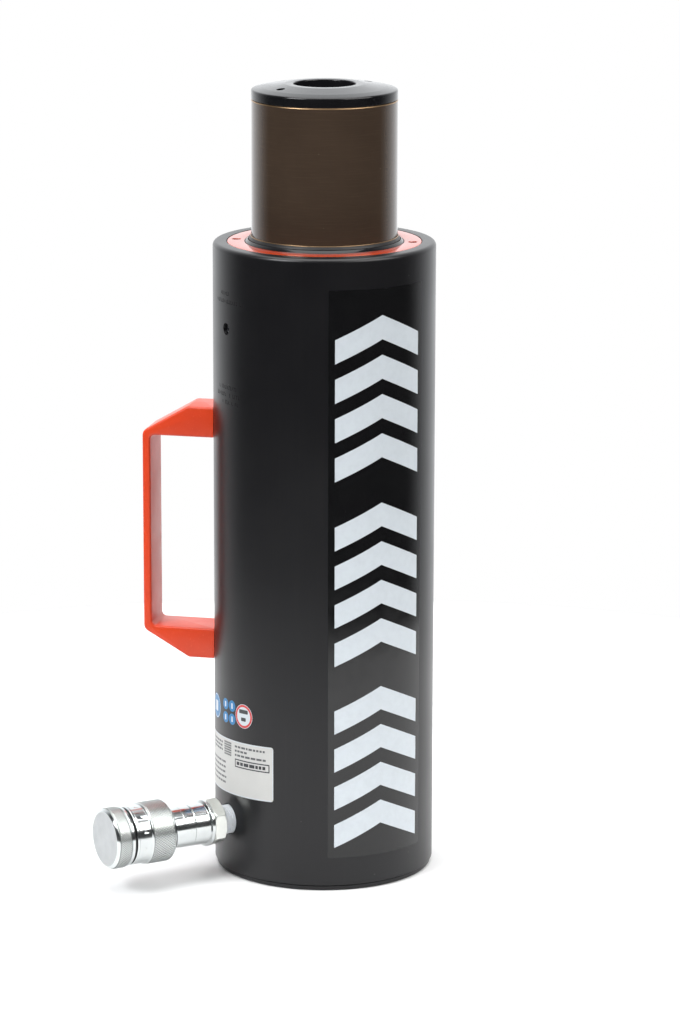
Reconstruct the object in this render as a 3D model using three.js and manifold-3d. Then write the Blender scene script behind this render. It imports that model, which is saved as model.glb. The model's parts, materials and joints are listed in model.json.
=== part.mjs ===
// Hollow-plunger hydraulic cylinder: one stage, single acting, spring return, with a carrying
// handle and a screw-on quick coupler. Millimetres, +Z up, standing on its base plate.
//
// The pieces are modelled round the plunger's axis (x = y = 0, z = 0 on the floor). The carrying
// handle points along -X. At the end the whole assembly is moved so that the origin lies under
// the middle of its bounding box.
import * as THREE from 'three';
import { mergeVertices } from 'three/addons/utils/BufferGeometryUtils.js';
import Module from 'manifold-3d';

const wasm = await Module();
wasm.setup();

// ---------------------------------------------------------------- driving dimensions
const GAP = 0.3; // clearance between pieces that touch
const RUN = 0.2; // clearance of a seal on the face it slides along

const BARREL_RADIUS = 65;
const BARREL_TOP = 375.7;
const BARREL_ROUNDING = 2.5;
const BORE_RADIUS = 46;
const COUNTERBORE_RADIUS = 56.9;
const COUNTERBORE_FLOOR = 338;

const BASE_RADIUS = 64;
const BASE_FLANGE = 3;
const BASE_CHAMFER = 0.8;
const BASE_PLUG_TOP = 29.4;
const BASE_GROOVE = { bottom: 19, top: 23, depth: 3 }; // for the seal on the bore
const TUBE_GROOVE = { bottom: 13, top: 16, depth: 2.6 }; // for the seal on the centre tube
const BASE_SEAL = { inner: 43, bottom: 19.5, top: 22.5 };
const TUBE_SEAL = { depth: 2.3, bottom: 13.3, top: 15.7 };
const BASE_SPANNER_HOLE = { radius: 3, depth: 8, place: 34 };

const BUSH_ABOVE_PISTON = 173; // from the resting piston's underside to the bush's lower face
const BUSH_RELIEF = { clearance: 1, height: 4 }; // the loose fit below the counterbore's floor
const BUSH_FLANGE = { radius: 52, top: 350 };
const BUSH_NECK_RADIUS = 46.1;
const BUSH_NECK_CHAMFER = 1.6;
const BEARING_GROOVE = { bottom: 312, top: 330, depth: 1.4 };
const BEARING_SLACK = 0.3; // at each end of the bearing in its groove
const WIPER_SEAT = 371.7;
const WIPER = { bottom: 372, outer: 44.2, tip: 43.4, shoulder: 1.8, height: 3.6 };
const STOP_RING = { inner: 46.4, bottom: 350.3, sunk: 0.1, outerChamfer: 0.5, innerChamfer: 0.4 };
const STOP_RING_HOLE = { radius: 2.5, depth: 8, place: 51.5, azimuths: [7, 187] };

const HOLE_RADIUS = 18; // the through-hole along the whole axis
const TUBE_RADIUS = 22;
const TUBE_BOTTOM = 0.5;
const TUBE_TOP = 356;
const TUBE_CHAMFER = 1;
const COLLAR = { radius: 30.4, bottom: 344, top: 350 }; // holds the upper end of the spring
const CIRCLIP_GROOVE = { depth: 1.3, height: 2.4 };
const CIRCLIP = { depth: 1, radius: 25, top: 2.1 };

const PLUNGER_RADIUS = 42.5;
const PLUNGER_TOP = 458.4; // in the resting pose, part way out
const PLUNGER_BOTTOM = 108;
const PISTON_HEIGHT = 50;
const PLUNGER_CHAMBER_RADIUS = 31; // room for the return spring inside the plunger
const SPRING_SHOULDER = PLUNGER_BOTTOM + 25;
const PISTON_CLEARANCE = 0.4; // of the piston head, both in the bore and on the centre tube
const PISTON_CHAMFER = 5;
const PLUNGER_CHAMFER = 0.8;
const SPIGOT_RADIUS = 33;
const SPIGOT_LENGTH = 19;
const SPIGOT_POCKET = 20;

// The saddle's rim and its cone, as heights above or below the saddle's own faces.
const SADDLE = {
  height: 8.6,
  rim: 4.3,
  rimEdge: 6.2,
  rimChamfer: 1.8,
  coneRadius: 32,
  coneDrop: 0.9,
  flatRadius: 23,
  holeChamfer: 0.8,
};
const SADDLE_HOLE = { radius: 2.5, depth: 7, place: 31, azimuths: [48.4, 228.4] };

// Heights above the piston's underside, and the depth, of each groove in the piston head.
const SEAL_GROOVE = { bottom: 12, top: 22, depth: 5 };
const WEAR_GROOVE = { bottom: 34, top: 44, depth: 2.3 };
const BORE_SEAL_GROOVE = { bottom: 5, top: 10, depth: 3.6 };
const BORE_WEAR_GROOVE = { bottom: 14, top: 20, depth: 2 };
const SEAL_SPLIT = 18.5; // the seal ends here and its back-up ring begins

const SPRING_RADIUS = 26.5; // to the middle of the wire
const SPRING_WIRE = 6;
const SPRING_TURNS = 13.5;
const SPRING_SEAT = { radius: 30.4, top: 2.3, springFoot: 2.5 };

const HANDLE_AZIMUTH = 180;
const HANDLE_WIDTH = 26.4;
const HANDLE_MIDDLE = 199.5;
const HANDLE_HEIGHT = 152.6;
const HANDLE_WINDOW = 116.2;
const HANDLE_REACH = 107.2;
const HANDLE_ROOT = BARREL_RADIUS - 5; // the blank's inner end, before the barrel's skin is cut
const HANDLE_SLOPE = { start: 79.6, drop: 16 };
const HANDLE_ROUNDING = { shoulder: 3, corner: 4, window: 3 };
const HANDLE_EDGE = 1.2;
const GRIP_THICKNESS = 4.8;
const STUD = { radius: 4, inner: 51, outer: 80 };
const GRUB_SCREW = { radius: 2.1, hole: 2.4, place: 73, recess: 1 };

const PORT_AZIMUTH = 222;
const PORT_HEIGHT = 34;
const PORT_HOLE = { radius: 9, floor: 52 };
const OIL_PASSAGE = { radius: 3, end: 55 };
const BREATHER_HEIGHT = 329.2;
const BREATHER_HOLE_RADIUS = 3;
const BREATHER_SCREW = { inner: 55, outer: 63, socketRadius: 1.6, socketFloor: 60 };

// The sheets on the barrel: thickness, azimuths in degrees, heights, and arc steps.
const LABEL = { thickness: 0.3, azimuths: [284.7, 341.8], heights: [20.4, 357.6], steps: 7 };
const NAMEPLATE = { thickness: 0.5, azimuths: [188.2, 255.6], heights: [51.5, 84.8], steps: 8 };
const PICTOGRAMS = { thickness: 0.3, azimuths: [197.5, 244.5], heights: [92, 109], steps: 6 };

// Along the quick coupler every length is measured from the barrel's axis.
const OIL_WAY_RADIUS = 3.5;
const HEX = { acrossFlats: 25, bottom: 72.4, top: 79.8, chamfer: 1.2, spread: 0.6 };
const NIPPLE = { threadRadius: 7.9, inner: 56, lead: 1.5, step: 0.8, spigotRadius: 7, outer: 88 };
const TAPE = { gap: 0.25, radius: 8.65, inner: 58.5 };
const BODY = {
  radius: 12.2,
  frontRadius: 11,
  flangeRadius: 13.9,
  flange: 2,
  flangeSlope: 2.6,
  mark: 92.1, // the line turned round the body
  markDepth: 0.5,
  shoulder: 114.4,
  front: 131,
  edge: 0.6,
  mouthRadius: 6.6,
  mouthFloor: 125,
  chamberRadius: 9,
  chamberTop: 122.4,
  chamberBottom: 92,
  passageRadius: 4,
  nippleSeat: 88.4,
};
const SLEEVE = {
  bottom: 106.8,
  bottomChamfer: 1.6,
  knurlTop: 123.4,
  knurlRadius: 18.3,
  step: 0.6,
  smoothRadius: 17.3,
  top: 133.3,
  edge: 0.4,
  shoulder: 114.2,
};
const SNAP_RING = { radius: 13.9, bottom: 114.8, top: 116 };
const CAP = {
  spigotRadius: 14,
  spigotBottom: 124.5,
  socketFloor: 133.6,
  bottom: 134.9,
  lip: 1.6,
  lipTop: 1.8,
  lipInset: 0.4,
  radius: 18.1,
  chamfer: 1.8,
  top: 146.4,
};
const CAP_SEAL_RADIUS = 16.8;
const POPPET = {
  stemRadius: 3,
  inner: 91,
  shoulder: 116,
  headRadius: 8.4,
  headTop: 121.8,
  faceRadius: 6,
  faceBottom: 124.2,
  sunk: 1.2,
};
const GUIDE = { hubRadius: 4.6, bottom: 92.4, top: 95.4, holeRadius: 3.3 };
const GUIDE_LEG = { length: 8.4, width: 2.4, middle: 4.3 };
const POPPET_SPRING = { radius: 5.4, wire: 1.4, bottom: 95.8, top: 115.6, turns: 5 };

// How finely round pieces are faceted, by their size.
const TINY = 12;
const SMALL = 16;
const HUB = 18;
const COARSE = 24;
const MEDIUM = 28;
const FINE = 36;
const SKIN = 96; // for the tool that fits a piece to the barrel's skin
const SPRING_STEPS = 12; // along each turn of the return spring
const POPPET_SPRING_STEPS = 8;
const WIRE_SIDES = 5;

// ---------------------------------------------------------------- finishes
const FINISHES = {
  blackAnodised: { color: 0x1c1b1e, roughness: 0.42, metalness: 0.35 },
  bronzeAnodised: { color: 0x46392f, roughness: 0.35, metalness: 0.55 },
  blackSteel: { color: 0x17171a, roughness: 0.3, metalness: 0.5 },
  orangeCoat: { color: 0xe8522d, roughness: 0.45, metalness: 0.1 },
  zinc: { color: 0xc9cdd2, roughness: 0.25, metalness: 0.9 },
  steel: { color: 0x8d9096, roughness: 0.35, metalness: 0.9 },
  bronze: { color: 0xa9814a, roughness: 0.4, metalness: 0.8 },
  blackRubber: { color: 0x101012, roughness: 0.7, metalness: 0 },
  whiteTape: { color: 0xe9ebec, roughness: 0.6, metalness: 0 },
  greyPolymer: { color: 0x4b4e52, roughness: 0.6, metalness: 0 },
  labelFilm: { color: 0x0e0e10, roughness: 0.15, metalness: 0 },
  silverFoil: { color: 0xc8cbcd, roughness: 0.4, metalness: 0.3 },
};

const assembly = new THREE.Group();

function addPart(name, geometry, finish, parent = assembly) {
  const mesh = new THREE.Mesh(geometry, new THREE.MeshStandardMaterial(FINISHES[finish]));
  mesh.name = name;
  parent.add(mesh);
}

// ---------------------------------------------------------------- shape helpers

// A closed outline of [radius, height] points turned round +Z. The outline runs up the outside
// and down the inside.
function turned(outline, segments) {
  const points = outline.map(([radius, height]) => new THREE.Vector2(radius, height));
  points.push(points[0].clone());
  return new THREE.LatheGeometry(points, segments).rotateX(Math.PI / 2);
}

// A solid of revolution whose outline starts and ends on the axis.
function turnedSolid(outline, segments) {
  const points = outline.map(([radius, height]) => new THREE.Vector2(radius, height));
  return new THREE.LatheGeometry(points, segments).rotateX(Math.PI / 2);
}

// A plain ring with a rectangular section.
function ring(inner, outer, bottom, top, segments) {
  return turned([[inner, bottom], [outer, bottom], [outer, top], [inner, top]], segments);
}

// A round bar along +Z. Six sides make a hexagon.
function bar(radius, bottom, top, sides) {
  const geometry = new THREE.CylinderGeometry(radius, radius, top - bottom, sides);
  return geometry.rotateX(Math.PI / 2).translate(0, 0, (bottom + top) / 2);
}

// Turns a piece made along +Z so that it points away from the axis at one azimuth and height.
function radially(geometry, azimuth, height) {
  geometry.rotateY(Math.PI / 2);
  geometry.rotateZ(THREE.MathUtils.degToRad(azimuth));
  return geometry.translate(0, 0, height);
}

// Moves a piece made round +Z out to a radius at one azimuth.
function offAxis(geometry, radius, azimuth) {
  const angle = THREE.MathUtils.degToRad(azimuth);
  return geometry.translate(radius * Math.cos(angle), radius * Math.sin(angle), 0);
}

function toSolid(geometry) {
  const bare = geometry.clone();
  bare.deleteAttribute('normal');
  bare.deleteAttribute('uv');
  const welded = mergeVertices(bare, 1e-4);
  const corners = [];
  for (let i = 0; i < welded.index.count; i += 3) {
    const triangle = [0, 1, 2].map((corner) => welded.index.getX(i + corner));
    if (new Set(triangle).size === 3) corners.push(...triangle);
  }
  return new wasm.Manifold(new wasm.Mesh({
    numProp: 3,
    vertProperties: new Float32Array(welded.attributes.position.array),
    triVerts: new Uint32Array(corners),
  }));
}

function toGeometry(solid) {
  const mesh = solid.getMesh();
  const geometry = new THREE.BufferGeometry();
  geometry.setAttribute('position', new THREE.BufferAttribute(mesh.vertProperties, 3));
  geometry.setIndex(new THREE.BufferAttribute(mesh.triVerts, 1));
  geometry.computeVertexNormals();
  return geometry;
}

function cut(geometry, tools) {
  const solid = tools.reduce((rest, tool) => rest.subtract(toSolid(tool)), toSolid(geometry));
  return toGeometry(solid);
}

function join(geometries) {
  return toGeometry(geometries.map(toSolid).reduce((whole, next) => whole.add(next)));
}

// The middle line of a coil spring standing on +Z.
class Helix extends THREE.Curve {
  constructor(radius, bottom, top, turns) {
    super();
    Object.assign(this, { radius, bottom, top, turns });
  }

  getPoint(t, target = new THREE.Vector3()) {
    const angle = t * this.turns * 2 * Math.PI;
    const height = this.bottom + t * (this.top - this.bottom);
    return target.set(this.radius * Math.cos(angle), this.radius * Math.sin(angle), height);
  }
}

// A coil spring that fills the space between two heights.
function coil(radius, wire, bottom, top, turns, stepsPerTurn) {
  const circle = new THREE.EllipseCurve(0, 0, wire / 2, wire / 2);
  const section = new THREE.Shape(circle.getPoints(WIRE_SIDES).slice(0, WIRE_SIDES));
  const path = new Helix(radius, bottom + wire / 2, top - wire / 2, turns);
  return new THREE.ExtrudeGeometry(section, {
    steps: Math.round(turns * stepsPerTurn),
    extrudePath: path,
  });
}

// An outline whose corners are rounded: each corner is [x, y, radius of the rounding].
function roundedOutline(corners) {
  const shape = new THREE.Shape();
  corners.forEach(([x, y, radius], i) => {
    const corner = new THREE.Vector2(x, y);
    const [before, after] = [corners.at(i - 1), corners[(i + 1) % corners.length]].map(([nextX, nextY]) => {
      const direction = new THREE.Vector2(nextX, nextY).sub(corner).normalize();
      return corner.clone().addScaledVector(direction, radius);
    });
    if (i === 0) shape.moveTo(before.x, before.y);
    else shape.lineTo(before.x, before.y);
    if (radius > 0) shape.quadraticCurveTo(x, y, after.x, after.y);
  });
  shape.closePath();
  return shape;
}

// A thin sheet wrapped round the barrel between two azimuths in degrees.
function wrappedSheet({ thickness, azimuths, heights, steps }) {
  const inner = BARREL_RADIUS + GAP;
  const outer = inner + thickness;
  const [start, end] = azimuths.map(THREE.MathUtils.degToRad);
  const [bottom, top] = heights;
  const shape = new THREE.Shape();
  shape.absarc(0, 0, outer, start, end, false);
  shape.absarc(0, 0, inner, end, start, true);
  const options = { depth: top - bottom, bevelEnabled: false, curveSegments: steps };
  return new THREE.ExtrudeGeometry(shape, options).translate(0, 0, bottom);
}

// ---------------------------------------------------------------- barrel and what closes it
const ARM_HEIGHT = (HANDLE_HEIGHT - HANDLE_WINDOW) / 2;
const ARM_MIDDLES = [1, -1].map((side) => HANDLE_MIDDLE + (side * (HANDLE_HEIGHT - ARM_HEIGHT)) / 2);
const BEYOND = 5; // how far a cutting tool runs past the face it opens
const OUTSIDE = BARREL_RADIUS + BEYOND;
const INSIDE = BORE_RADIUS - BEYOND;
const ROUND_CORNER = 0.3; // where a rounding's middle point lies, as a share of its radius

// A hole of one size at each azimuth, sunk from a top face, for a pin spanner.
function spannerHolesIn(top, { radius, depth, place, azimuths }) {
  return azimuths.map((azimuth) => offAxis(bar(radius, top - depth, top + 1, TINY), place, azimuth));
}

function barrelGeometry() {
  const bottom = BASE_FLANGE + GAP;
  const middle = BARREL_ROUNDING * ROUND_CORNER;
  const body = turned([
    [BORE_RADIUS, bottom],
    [BARREL_RADIUS, bottom],
    [BARREL_RADIUS, BARREL_TOP - BARREL_ROUNDING],
    [BARREL_RADIUS - middle, BARREL_TOP - middle],
    [BARREL_RADIUS - BARREL_ROUNDING, BARREL_TOP],
    [COUNTERBORE_RADIUS, BARREL_TOP],
    [COUNTERBORE_RADIUS, COUNTERBORE_FLOOR],
    [BORE_RADIUS, COUNTERBORE_FLOOR],
  ], FINE);
  const studHoles = ARM_MIDDLES.map((height) => (
    radially(bar(STUD.radius + GAP, STUD.inner - GAP, OUTSIDE, TINY), HANDLE_AZIMUTH, height)
  ));
  const portThread = bar(PORT_HOLE.radius, PORT_HOLE.floor, OUTSIDE, COARSE);
  const oilPassage = bar(OIL_PASSAGE.radius, INSIDE, OIL_PASSAGE.end, TINY);
  const breather = bar(BREATHER_HOLE_RADIUS, INSIDE, OUTSIDE, SMALL);
  return cut(body, [
    ...studHoles,
    radially(portThread, PORT_AZIMUTH, PORT_HEIGHT),
    radially(oilPassage, PORT_AZIMUTH, PORT_HEIGHT),
    radially(breather, PORT_AZIMUTH, BREATHER_HEIGHT),
  ]);
}

function basePlateGeometry() {
  const plugRadius = BORE_RADIUS - GAP;
  const hole = TUBE_RADIUS + GAP;
  const body = turned([
    [hole, 0],
    [BASE_RADIUS - BASE_CHAMFER, 0],
    [BASE_RADIUS, BASE_CHAMFER],
    [BASE_RADIUS, BASE_FLANGE],
    [plugRadius, BASE_FLANGE],
    [plugRadius, BASE_GROOVE.bottom],
    [plugRadius - BASE_GROOVE.depth, BASE_GROOVE.bottom],
    [plugRadius - BASE_GROOVE.depth, BASE_GROOVE.top],
    [plugRadius, BASE_GROOVE.top],
    [plugRadius, BASE_PLUG_TOP],
    [hole, BASE_PLUG_TOP],
    [hole, TUBE_GROOVE.top],
    [hole + TUBE_GROOVE.depth, TUBE_GROOVE.top],
    [hole + TUBE_GROOVE.depth, TUBE_GROOVE.bottom],
    [hole, TUBE_GROOVE.bottom],
  ], FINE);
  const { radius, depth, place } = BASE_SPANNER_HOLE;
  const spannerHoles = [0, 180].map((turn) => (
    offAxis(bar(radius, -1, depth, TINY), place, HANDLE_AZIMUTH + turn)
  ));
  return cut(body, spannerHoles);
}

function guideBushGeometry() {
  const bottom = PLUNGER_BOTTOM + BUSH_ABOVE_PISTON; // stops the piston head at full reach
  const inner = PLUNGER_RADIUS + GAP;
  const loose = BORE_RADIUS - BUSH_RELIEF.clearance;
  const looseTop = COUNTERBORE_FLOOR - BUSH_RELIEF.height;
  const neckTop = BUSH_NECK_RADIUS - BUSH_NECK_CHAMFER;
  return turned([
    [inner, bottom],
    [loose, bottom],
    [loose, looseTop],
    [BORE_RADIUS - GAP, looseTop],
    [BORE_RADIUS - GAP, COUNTERBORE_FLOOR + GAP],
    [BUSH_FLANGE.radius, COUNTERBORE_FLOOR + GAP],
    [BUSH_FLANGE.radius, BUSH_FLANGE.top],
    [BUSH_NECK_RADIUS, BUSH_FLANGE.top],
    [BUSH_NECK_RADIUS, BARREL_TOP],
    [neckTop, BARREL_TOP + BUSH_NECK_CHAMFER],
    [neckTop, WIPER_SEAT],
    [inner, WIPER_SEAT],
    [inner, BEARING_GROOVE.top],
    [inner + BEARING_GROOVE.depth, BEARING_GROOVE.top],
    [inner + BEARING_GROOVE.depth, BEARING_GROOVE.bottom],
    [inner, BEARING_GROOVE.bottom],
  ], FINE);
}

function wiperGeometry() {
  const inner = PLUNGER_RADIUS + GAP;
  return turned([
    [inner, WIPER.bottom],
    [WIPER.outer, WIPER.bottom],
    [WIPER.outer, BARREL_TOP + WIPER.shoulder],
    [WIPER.tip, BARREL_TOP + WIPER.height],
    [inner, BARREL_TOP + WIPER.height],
  ], FINE);
}

function stopRingGeometry() {
  const { inner, bottom, outerChamfer, innerChamfer } = STOP_RING;
  const outer = COUNTERBORE_RADIUS - GAP;
  const top = BARREL_TOP - STOP_RING.sunk;
  const body = turned([
    [inner, bottom],
    [outer, bottom],
    [outer, top - outerChamfer],
    [outer - outerChamfer, top],
    [inner + innerChamfer, top],
    [inner, top - innerChamfer],
  ], FINE);
  return cut(body, spannerHolesIn(top, STOP_RING_HOLE));
}

function addBarrelPieces() {
  addPart('barrel', barrelGeometry(), 'blackAnodised');
  addPart('base_plate', basePlateGeometry(), 'blackAnodised');
  const baseSeal = ring(BASE_SEAL.inner, BORE_RADIUS - RUN, BASE_SEAL.bottom, BASE_SEAL.top, MEDIUM);
  addPart('base_seal', baseSeal, 'blackRubber');
  const hole = TUBE_RADIUS + GAP;
  const tubeSeal = ring(hole, hole + TUBE_SEAL.depth, TUBE_SEAL.bottom, TUBE_SEAL.top, COARSE);
  addPart('tube_seal', tubeSeal, 'blackRubber');
  addPart('guide_bush', guideBushGeometry(), 'blackSteel');
  const bearing = ring(PLUNGER_RADIUS + RUN, PLUNGER_RADIUS + BEARING_GROOVE.depth,
    BEARING_GROOVE.bottom + BEARING_SLACK, BEARING_GROOVE.top - BEARING_SLACK, FINE);
  addPart('bush_bearing', bearing, 'bronze');
  addPart('wiper', wiperGeometry(), 'blackRubber');
  addPart('stop_ring', stopRingGeometry(), 'orangeCoat');
  const { inner, outer, socketRadius, socketFloor } = BREATHER_SCREW;
  const socket = bar(socketRadius, socketFloor, outer + 1, 6);
  const breatherScrew = cut(bar(BREATHER_HOLE_RADIUS - GAP, inner, outer, TINY), [socket]);
  addPart('breather_screw', radially(breatherScrew, PORT_AZIMUTH, BREATHER_HEIGHT), 'steel');
}

// ---------------------------------------------------------------- centre tube and return spring
function addCentreTube() {
  const grooveBottom = COLLAR.top + GAP;
  const grooveTop = grooveBottom + CIRCLIP_GROOVE.height;
  const grooveRadius = TUBE_RADIUS - CIRCLIP_GROOVE.depth;
  const tube = turned([
    [HOLE_RADIUS, TUBE_BOTTOM],
    [TUBE_RADIUS, TUBE_BOTTOM],
    [TUBE_RADIUS, grooveBottom],
    [grooveRadius, grooveBottom],
    [grooveRadius, grooveTop],
    [TUBE_RADIUS, grooveTop],
    [TUBE_RADIUS, TUBE_TOP - TUBE_CHAMFER],
    [TUBE_RADIUS - TUBE_CHAMFER, TUBE_TOP],
    [HOLE_RADIUS, TUBE_TOP],
  ], MEDIUM);
  addPart('centre_tube', tube, 'steel');
  const collar = ring(TUBE_RADIUS + GAP, COLLAR.radius, COLLAR.bottom, COLLAR.top, MEDIUM);
  addPart('spring_collar', collar, 'steel');
  const circlip = ring(TUBE_RADIUS - CIRCLIP.depth, CIRCLIP.radius,
    grooveBottom + GAP, grooveBottom + CIRCLIP.top, COARSE);
  addPart('spring_circlip', circlip, 'blackSteel');
  const springBottom = SPRING_SHOULDER + GAP + SPRING_SEAT.springFoot;
  const spring = coil(SPRING_RADIUS, SPRING_WIRE, springBottom, COLLAR.bottom - GAP,
    SPRING_TURNS, SPRING_STEPS);
  addPart('return_spring', spring, 'steel');
}

// ---------------------------------------------------------------- plunger and its seals
const PISTON_RADIUS = BORE_RADIUS - PISTON_CLEARANCE;
const PISTON_BORE = TUBE_RADIUS + PISTON_CLEARANCE;
const PISTON_TOP = PLUNGER_BOTTOM + PISTON_HEIGHT;

// The four corners of a groove cut into a face of one radius, in the order the outline passes it.
function groovePoints(face, groove, side) {
  const floor = face - side * groove.depth;
  const low = PLUNGER_BOTTOM + groove.bottom;
  const high = PLUNGER_BOTTOM + groove.top;
  const upwards = [[face, low], [floor, low], [floor, high], [face, high]];
  return side > 0 ? upwards : upwards.reverse();
}

function plungerGeometry() {
  return turned([
    [PISTON_BORE, PLUNGER_BOTTOM],
    [PISTON_RADIUS - PISTON_CHAMFER, PLUNGER_BOTTOM],
    [PISTON_RADIUS, PLUNGER_BOTTOM + PISTON_CHAMFER],
    ...groovePoints(PISTON_RADIUS, SEAL_GROOVE, 1),
    ...groovePoints(PISTON_RADIUS, WEAR_GROOVE, 1),
    [PISTON_RADIUS, PISTON_TOP],
    [PLUNGER_RADIUS, PISTON_TOP],
    [PLUNGER_RADIUS, PLUNGER_TOP - PLUNGER_CHAMFER],
    [PLUNGER_RADIUS - PLUNGER_CHAMFER, PLUNGER_TOP],
    [SPIGOT_RADIUS + GAP, PLUNGER_TOP],
    [SPIGOT_RADIUS + GAP, PLUNGER_TOP - SPIGOT_POCKET],
    [PLUNGER_CHAMBER_RADIUS, PLUNGER_TOP - SPIGOT_POCKET],
    [PLUNGER_CHAMBER_RADIUS, SPRING_SHOULDER],
    [PISTON_BORE, SPRING_SHOULDER],
    ...groovePoints(PISTON_BORE, BORE_WEAR_GROOVE, -1),
    ...groovePoints(PISTON_BORE, BORE_SEAL_GROOVE, -1),
  ], FINE);
}

function saddleGeometry() {
  const bottom = PLUNGER_TOP + GAP;
  const top = PLUNGER_TOP + GAP + SADDLE.height;
  const body = turned([
    [HOLE_RADIUS, PLUNGER_TOP - SPIGOT_LENGTH],
    [SPIGOT_RADIUS, PLUNGER_TOP - SPIGOT_LENGTH],
    [SPIGOT_RADIUS, bottom],
    [PLUNGER_RADIUS, bottom],
    [PLUNGER_RADIUS, bottom + SADDLE.rim],
    [PLUNGER_RADIUS - SADDLE.rimChamfer, bottom + SADDLE.rimEdge],
    [SADDLE.coneRadius, top - SADDLE.coneDrop],
    [SADDLE.flatRadius, top],
    [HOLE_RADIUS + SADDLE.holeChamfer, top],
    [HOLE_RADIUS, top - SADDLE.holeChamfer],
  ], FINE);
  return cut(body, spannerHolesIn(top, SADDLE_HOLE));
}

// A ring that fills an outer groove of the piston head between two heights above its underside.
function pistonRing(groove, from, to) {
  return ring(PISTON_RADIUS - groove.depth + GAP, BORE_RADIUS - RUN,
    PLUNGER_BOTTOM + from, PLUNGER_BOTTOM + to, MEDIUM);
}

// The same for a groove in the piston's bore, running on the centre tube.
function boreRing(groove) {
  return ring(TUBE_RADIUS + RUN, PISTON_BORE + groove.depth - GAP,
    PLUNGER_BOTTOM + groove.bottom + GAP, PLUNGER_BOTTOM + groove.top - GAP, COARSE);
}

function addPlungerPieces() {
  addPart('plunger', plungerGeometry(), 'bronzeAnodised');
  addPart('saddle', saddleGeometry(), 'blackSteel');
  const washer = ring(PISTON_BORE + GAP, SPRING_SEAT.radius,
    SPRING_SHOULDER + GAP, SPRING_SHOULDER + SPRING_SEAT.top, COARSE);
  addPart('spring_seat', washer, 'steel');
  const seal = pistonRing(SEAL_GROOVE, SEAL_GROOVE.bottom + GAP, SEAL_SPLIT);
  addPart('piston_seal', seal, 'blackRubber');
  const backup = pistonRing(SEAL_GROOVE, SEAL_SPLIT + GAP, SEAL_GROOVE.top - GAP);
  addPart('piston_backup_ring', backup, 'greyPolymer');
  const wearRing = pistonRing(WEAR_GROOVE, WEAR_GROOVE.bottom + GAP, WEAR_GROOVE.top - GAP);
  addPart('piston_wear_ring', wearRing, 'bronze');
  addPart('bore_seal', boreRing(BORE_SEAL_GROOVE), 'blackRubber');
  addPart('bore_wear_ring', boreRing(BORE_WEAR_GROOVE), 'bronze');
}

// ---------------------------------------------------------------- carrying handle
function handleGeometry() {
  const outside = HANDLE_REACH;
  const inside = HANDLE_REACH - GRIP_THICKNESS;
  const half = HANDLE_HEIGHT / 2;
  const window = HANDLE_WINDOW / 2;
  const { start, drop } = HANDLE_SLOPE;
  const { shoulder, corner, window: windowCorner } = HANDLE_ROUNDING;
  const shape = roundedOutline([
    [HANDLE_ROOT, -half, 0],
    [start, -half, shoulder],
    [outside, -half + drop, corner],
    [outside, half - drop, corner],
    [start, half, shoulder],
    [HANDLE_ROOT, half, 0],
    [HANDLE_ROOT, window, 0],
    [inside, window, windowCorner],
    [inside, -window, windowCorner],
    [HANDLE_ROOT, -window, 0],
  ]);
  const body = new THREE.ExtrudeGeometry(shape, {
    depth: HANDLE_WIDTH - 2 * HANDLE_EDGE,
    bevelThickness: HANDLE_EDGE,
    bevelSize: HANDLE_EDGE,
    bevelOffset: -HANDLE_EDGE,
    bevelSegments: 2,
    curveSegments: 3,
  });
  body.translate(0, 0, HANDLE_EDGE - HANDLE_WIDTH / 2).rotateX(Math.PI / 2);
  body.rotateZ(THREE.MathUtils.degToRad(HANDLE_AZIMUTH)).translate(0, 0, HANDLE_MIDDLE);
  const barrelSkin = bar(BARREL_RADIUS + GAP, 0, BARREL_TOP, SKIN);
  const studHoles = ARM_MIDDLES.map((height) => (
    radially(bar(STUD.radius + GAP, HANDLE_ROOT - 1, STUD.outer + GAP, TINY), HANDLE_AZIMUTH, height)
  ));
  const grubHoles = ARM_MIDDLES.map((height) => grubBar(GRUB_SCREW.hole, height, -1, GAP));
  return cut(body, [barrelSkin, ...studHoles, ...grubHoles]);
}

// A grub screw stands under each stud, let in from the underside of its arm.
function grubBar(radius, armMiddle, below, above) {
  const bottom = armMiddle - ARM_HEIGHT / 2 + below;
  const top = armMiddle - STUD.radius - GAP + above;
  return offAxis(bar(radius, bottom, top, TINY), GRUB_SCREW.place, HANDLE_AZIMUTH);
}

function addHandlePieces() {
  addPart('handle', handleGeometry(), 'orangeCoat');
  ['upper', 'lower'].forEach((place, i) => {
    const stud = bar(STUD.radius, STUD.inner, STUD.outer, TINY);
    addPart(`handle_stud_${place}`, radially(stud, HANDLE_AZIMUTH, ARM_MIDDLES[i]), 'steel');
    const grubScrew = grubBar(GRUB_SCREW.radius, ARM_MIDDLES[i], GRUB_SCREW.recess, 0);
    addPart(`handle_grub_screw_${place}`, grubScrew, 'blackSteel');
  });
}

// ---------------------------------------------------------------- labels, wrapped on the barrel
function addLabels() {
  addPart('label_film', wrappedSheet(LABEL), 'labelFilm');
  addPart('nameplate', wrappedSheet(NAMEPLATE), 'silverFoil');
  addPart('pictogram_film', wrappedSheet(PICTOGRAMS), 'labelFilm');
}

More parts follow.
